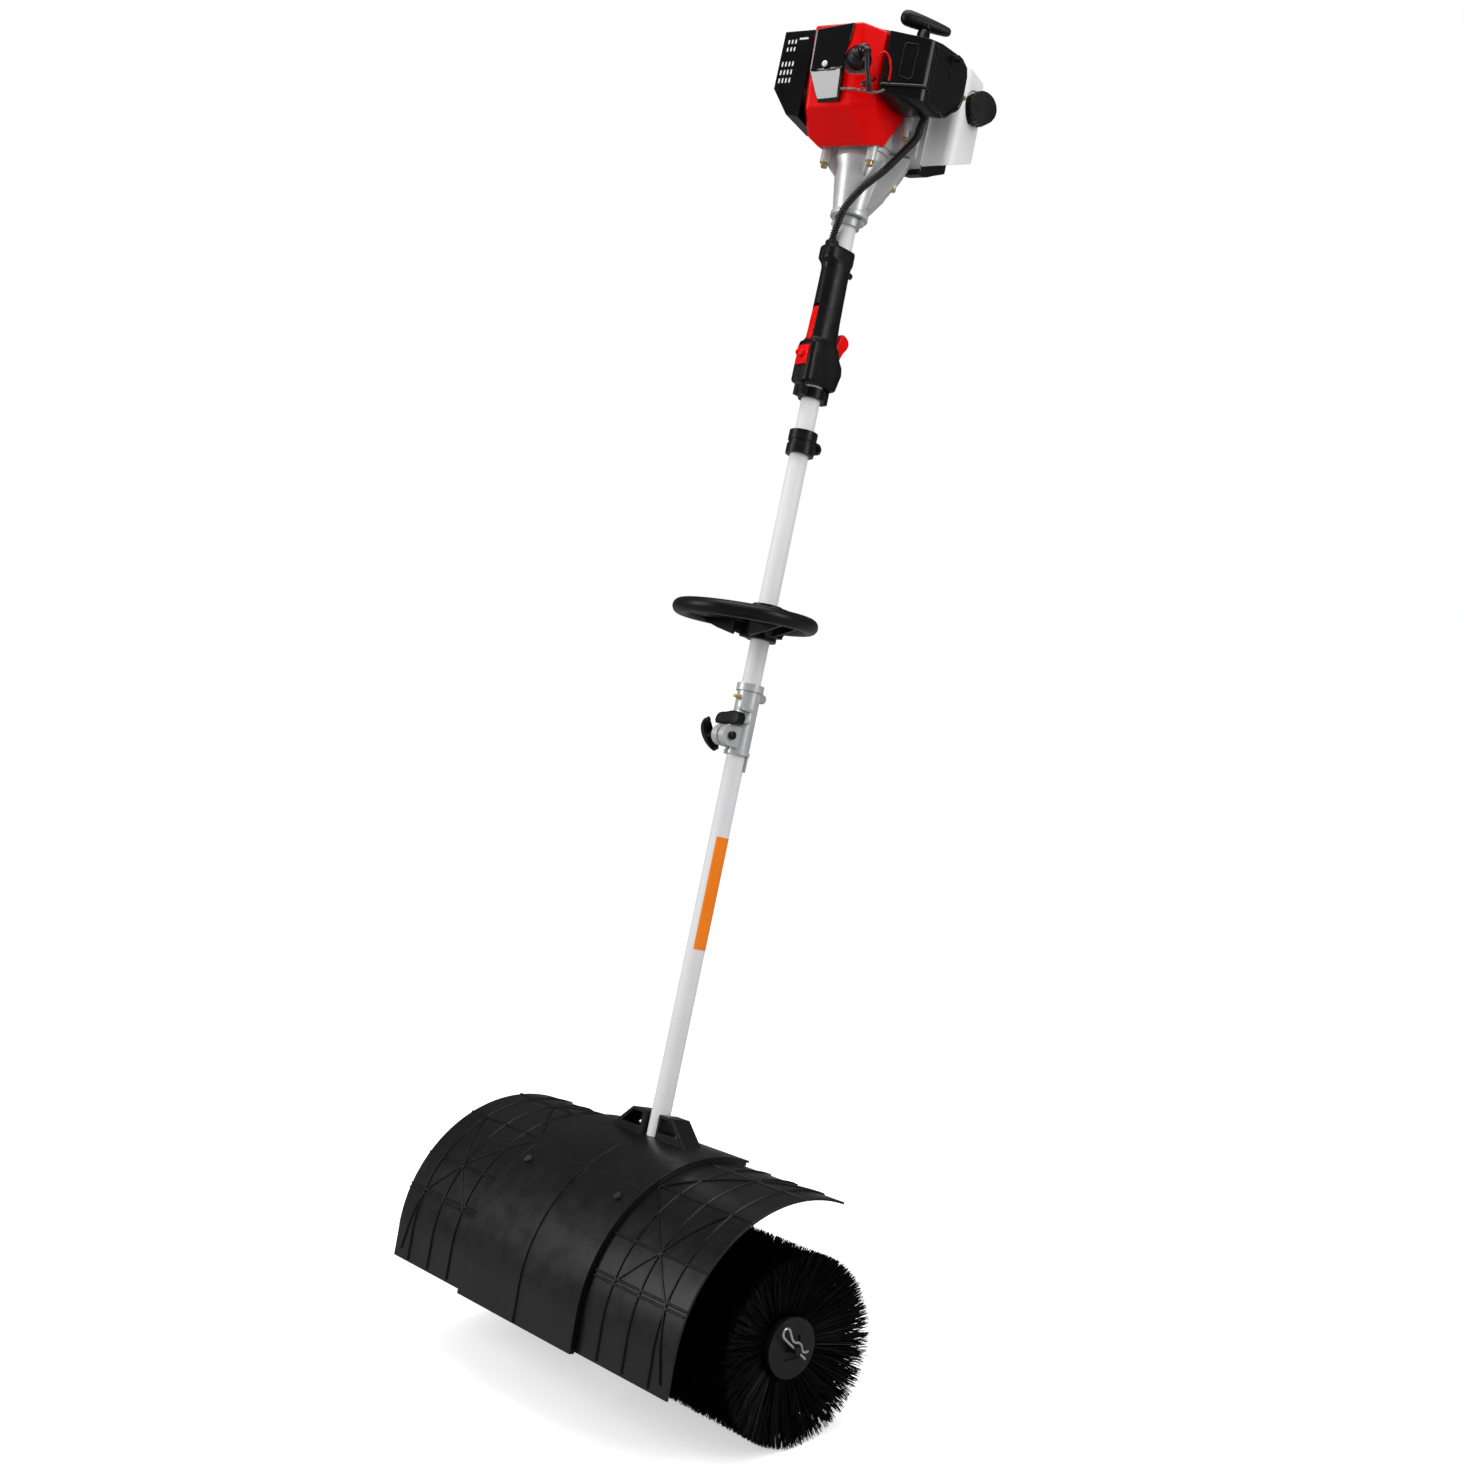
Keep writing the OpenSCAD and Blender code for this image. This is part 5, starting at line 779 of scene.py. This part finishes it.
# Each post: its foot, its top and its radius.
POSTS = {"post_side": ((61.6, 0, 14), (57.2, 0, 52), 4.6),
         "post_web": ((44, 26, -47), (44, 26, -38), 4.0)}
BOLT_LONG, BOLT_R = 4, 0.0042
for name, (foot, top, r) in POSTS.items():
    piece(name, tube(on_engine(np.linspace(foot, top, 8)), r / 1000, 24), "power_unit",
          cast)
    way = np.subtract(top, foot)
    head = np.subtract(foot, way / np.linalg.norm(way) * BOLT_LONG)
    piece(name + "_bolt", tube(on_engine(np.linspace(head, foot, 3)), BOLT_R, 6), "power_unit",
          brass)
NIPPLE = ((104, 52, 92), (113.5, 49.5, 95))
NIPPLE_R = np.array([2.6, 2.6, 3.2, 3.2, 2.4, 2.4, 2.9, 2.9, 2.4]) / 1000
piece("tank_nipple", tube(on_engine(np.linspace(*NIPPLE, 9)), NIPPLE_R, 16), "power_unit",
      brass)

# Air cleaner: a gloss black box on the carburettor, with a slanting front, its lower back corner
# cut away, a bead along its seam and a raised frame on its front.
CLEANER = np.array([(-54, 36), (-54, 122), (-30, 130), (30, 143), (48, 139), (54, 128), (55, 100),
                    (46, 75), (4, 41), (-14, 33.5), (-44, 33.5)], float)
CLEANER_FRONT = -54
# Each ring: how far out it lies, where its front is, and how far it is drawn in.
CLEANER_RINGS = [(57, -88, 0), (64, -84, 0), (84, -71.7, 0), (103, -60, 0), (107, -55.2, 0),
                 (108, -54, 1.2), (108.2, -54, 7), (111, -54, 9), (111.4, -54, 10)]
away = CLEANER - CLEANER.mean(0)
away /= np.linalg.norm(away, axis=1, keepdims=True)
forward = np.clip((30 - CLEANER[:, 0]) / 84, 0, 1)
rings = []
for x, front, draw in CLEANER_RINGS:
    y, e = (CLEANER - away * draw).T
    rings.append(np.c_[np.full(len(CLEANER), x), y + (front - CLEANER_FRONT) * forward, e])
cleaner = piece("cleaner_body", loft(on_engine(np.stack(rings))), "power_unit",
                gloss_black, crease=20)
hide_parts("air_cleaner")
BEAD = [(57, -88.6, 46.5), (64.5, -85, 47), (84, -72.6, 51), (103.4, -60.5, 54.5),
        (108.4, -54.5, 55), (108.8, -30, 49), (108.8, 3, 44), (108.8, 24, 60), (108.8, 43, 77),
        (108.8, 51, 100)]
BEAD_R = 0.0021
line = curve(on_engine(BEAD), 160)[0]
piece("cleaner_seam", tube(line, BEAD_R * round_ends(160, 2), 12), "power_unit",
      mirror_black)
FRAME = np.array([(76, 62), (75.4, 84), (76.6, 107), (84, 109.4), (91.4, 108), (90.6, 86), (90, 63),
                  (83, 61)], float)
FRAME_Y, FRAME_SLOPE, FRAME_R = -84.5, 24 / 39, 0.0009
x, e = curve(np.vstack((FRAME, FRAME[:1])), 121)[0][:-1].T
line = on_engine(np.c_[x, FRAME_Y + (x - 64) * FRAME_SLOPE, e])
piece("cleaner_frame", tube(line, FRAME_R, 10), "power_unit", gloss_black)

# Starter: a black drum on top of the engine with a guide for the rope, and a black T-handle. The
# rope runs from the drum up to the handle.
rope_mat = finish("rope", (0.03, 0.03, 0.03), (0.09, 0.09, 0.09), rough=0.7, shine=0.3,
                  grain=(900, 0.3), edge=0.0002, blotch=60)
DRUM = [(44, 100), (44, 122), (54, 124), (55, 128), (55, 142), (53.8, 147), (50.4, 149.6),
        (46, 150.4), (20, 150.8)]
GUIDE, GUIDE_AT = [(10.5, 146), (9.6, 160), (9, 178), (8, 181), (4, 181.6)], (45, 20)
drum = piece("starter_drum", loft(on_engine(turned(DRUM, 72))), "power_unit",
             gloss_black)
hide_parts("recoil_starter")
piece("starter_guide", loft(on_engine(turned(GUIDE, 36, at=GUIDE_AT))), "power_unit",
      gloss_black)
# Along the handle, and its radius.
PULL = np.array([(-38, 0.6), (-37.4, 3.4), (-36, 6), (-33, 8.4), (-28, 9.6), (-18, 9.6), (-5, 9),
                 (8, 8.1), (20, 7.1), (30, 6.1), (34.5, 5), (36.6, 3.4), (37.6, 0.6)])
PULL_AT, PULL_Z, PULL_TURN = (46, 20), 191.6, math.radians(47)
PULL_FULL, PULL_FLAT = 1.16, 0.9
NECK = [(6, 182.4), (8, 182.6), (8.8, 183.6), (9, 186), (8.6, 192), (8, 196)]
along = np.linspace(PULL[0, 0], PULL[-1, 0], 90)[:, None]
radius = PULL_FULL * np.interp(along, *PULL.T)
turn = np.linspace(0, 2 * np.pi, 36, endpoint=False)[None, :]
c, s = math.cos(PULL_TURN), math.sin(PULL_TURN)
across = radius * np.cos(turn) * PULL_FLAT
rings = np.stack((PULL_AT[0] + along * c - across * s, PULL_AT[1] + along * s + across * c,
                  PULL_Z + radius * np.sin(turn)), -1)
pull = piece("pull_handle", loft(on_engine(rings)), "pull", soft_black)
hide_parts("starter_handle")
piece("pull_neck", loft(on_engine(turned(NECK, 36, at=PULL_AT))), "pull",
      soft_black)
ROPE_Z, ROPE_R = (150, 186), 0.002
line = on_engine(np.linspace((*PULL_AT, ROPE_Z[0]), (*PULL_AT, ROPE_Z[1]), 25))
rope = piece("pull_rope", tube(line, ROPE_R, 14), None, rope_mat)
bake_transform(rope)
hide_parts("starter_rope")

# Cables: a finely ribbed conduit from the grip to the air cleaner, the rubber plug boot with its
# thick lead, the red stop wire, and a grey twisted pair across the cover's front.
rubber = finish("black_rubber", (0.005, 0.005, 0.005), (0.011, 0.011, 0.011), rough=0.36,
                grain=(600, 0.08), blotch=20)
grey = finish("grey_braid", (0.05, 0.05, 0.048), (0.28, 0.27, 0.25), rough=0.6, shine=0.4,
              grain=(1500, 0.3), edge=0.0, blotch=260)
# The route of part.scad, and two more points into the air cleaner.
CONDUIT = [(0, -20, 1400), (0, -20.5, 1412), (5, -22, 1428), (20, -27, 1450), (36, -16.5, 1480),
           (51, 2, 1510), (61, 18, 1540), (66.5, 29, 1560), (68, 33, 1571), (68, 33, 1580.4),
           (72.5, 33, 1592), (81, 32, 1606)]
CONDUIT_R, CONDUIT_RIB = 0.0048, 0.0007
RIBS, PER_RIB = 70, 6
line, length = curve(on_shaft(CONDUIT), RIBS * PER_RIB + 1)
wave = np.clip(1.3 * np.cos(2 * np.pi * np.arange(len(line)) / PER_RIB), -1, 1)
conduit = piece("ribbed_conduit", tube(line, CONDUIT_R + CONDUIT_RIB * wave, 24), "power_unit",
                rubber, crease=80)
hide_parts("throttle_conduit")

BOOT = [(19.5, -94, 74), (22, -99, 75), (25, -105, 77), (27, -110, 79), (28.5, -115, 80)]
# Share of the way along the boot or the lead, and the radius there.
BOOT_R = np.array([(0, 10.5), (0.08, 12.4), (0.2, 13), (0.22, 13.6), (0.55, 13.8), (0.7, 13.2),
                   (0.82, 11.4), (0.92, 8), (0.98, 4), (1, 1)])
LEAD = [(30, -112, 80), (36, -114.5, 81.2), (41, -115.5, 80), (44.6, -115.5, 75),
        (46.2, -114.5, 66), (48, -113, 55), (50.6, -110.5, 44), (51.6, -106, 36), (50, -100, 31.5)]
LEAD_R = np.array([(0, 8.6), (0.1, 8.6), (0.1001, 7), (0.135, 7), (0.1351, 8.2), (0.17, 8.2),
                   (0.1701, 6.4), (0.205, 6.4), (0.2051, 7.2), (0.24, 7.0), (0.26, 3.5), (1, 3.5)])
for name, node, route, radii, rows, sides in (
        ("plug_boot", "spark_plug_cap", BOOT, BOOT_R, 60, 40),
        ("plug_lead", "spark_plug_lead", LEAD, LEAD_R, 180, 24)):
    radius = np.interp(np.linspace(0, 1, rows), *radii.T) / 1000
    rubber_part = piece(name, tube(curve(on_engine(route), rows)[0], radius, sides), "power_unit",
                        rubber)
    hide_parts(node)
STOP = [(42.5, -82.5, 53.5), (44.5, -89, 57), (49, -98, 68), (55, -102, 79), (62, -101, 84),
        (68, -97, 78), (70.5, -92, 66), (69, -87.5, 57), (67.3, -84.8, 52)]
STOP_R = 0.0014
line, length = curve(on_engine(STOP), 140)
wire = piece("red_wire", tube(line, STOP_R, 16), "power_unit", red)
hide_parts("stop_wire")
PAIR = [(3, -101, 36), (12, -104.5, 33.8), (26, -105, 32.4), (40, -102, 30.8), (51, -97, 30.2),
        (59, -91, 33), (63.5, -85.5, 39)]
PAIR_R, PAIR_WAIST, PAIR_TWIST = 0.00135, 0.0006, 0.28
line, length = curve(on_engine(PAIR), 220)
turn = np.linspace(0, 2 * np.pi, 20, endpoint=False)[None, :] + np.arange(220)[:, None] * PAIR_TWIST
braid = piece("grey_pair", tube(line, PAIR_R + PAIR_WAIST * np.cos(2 * turn), 20), "power_unit",
              grey, crease=80)
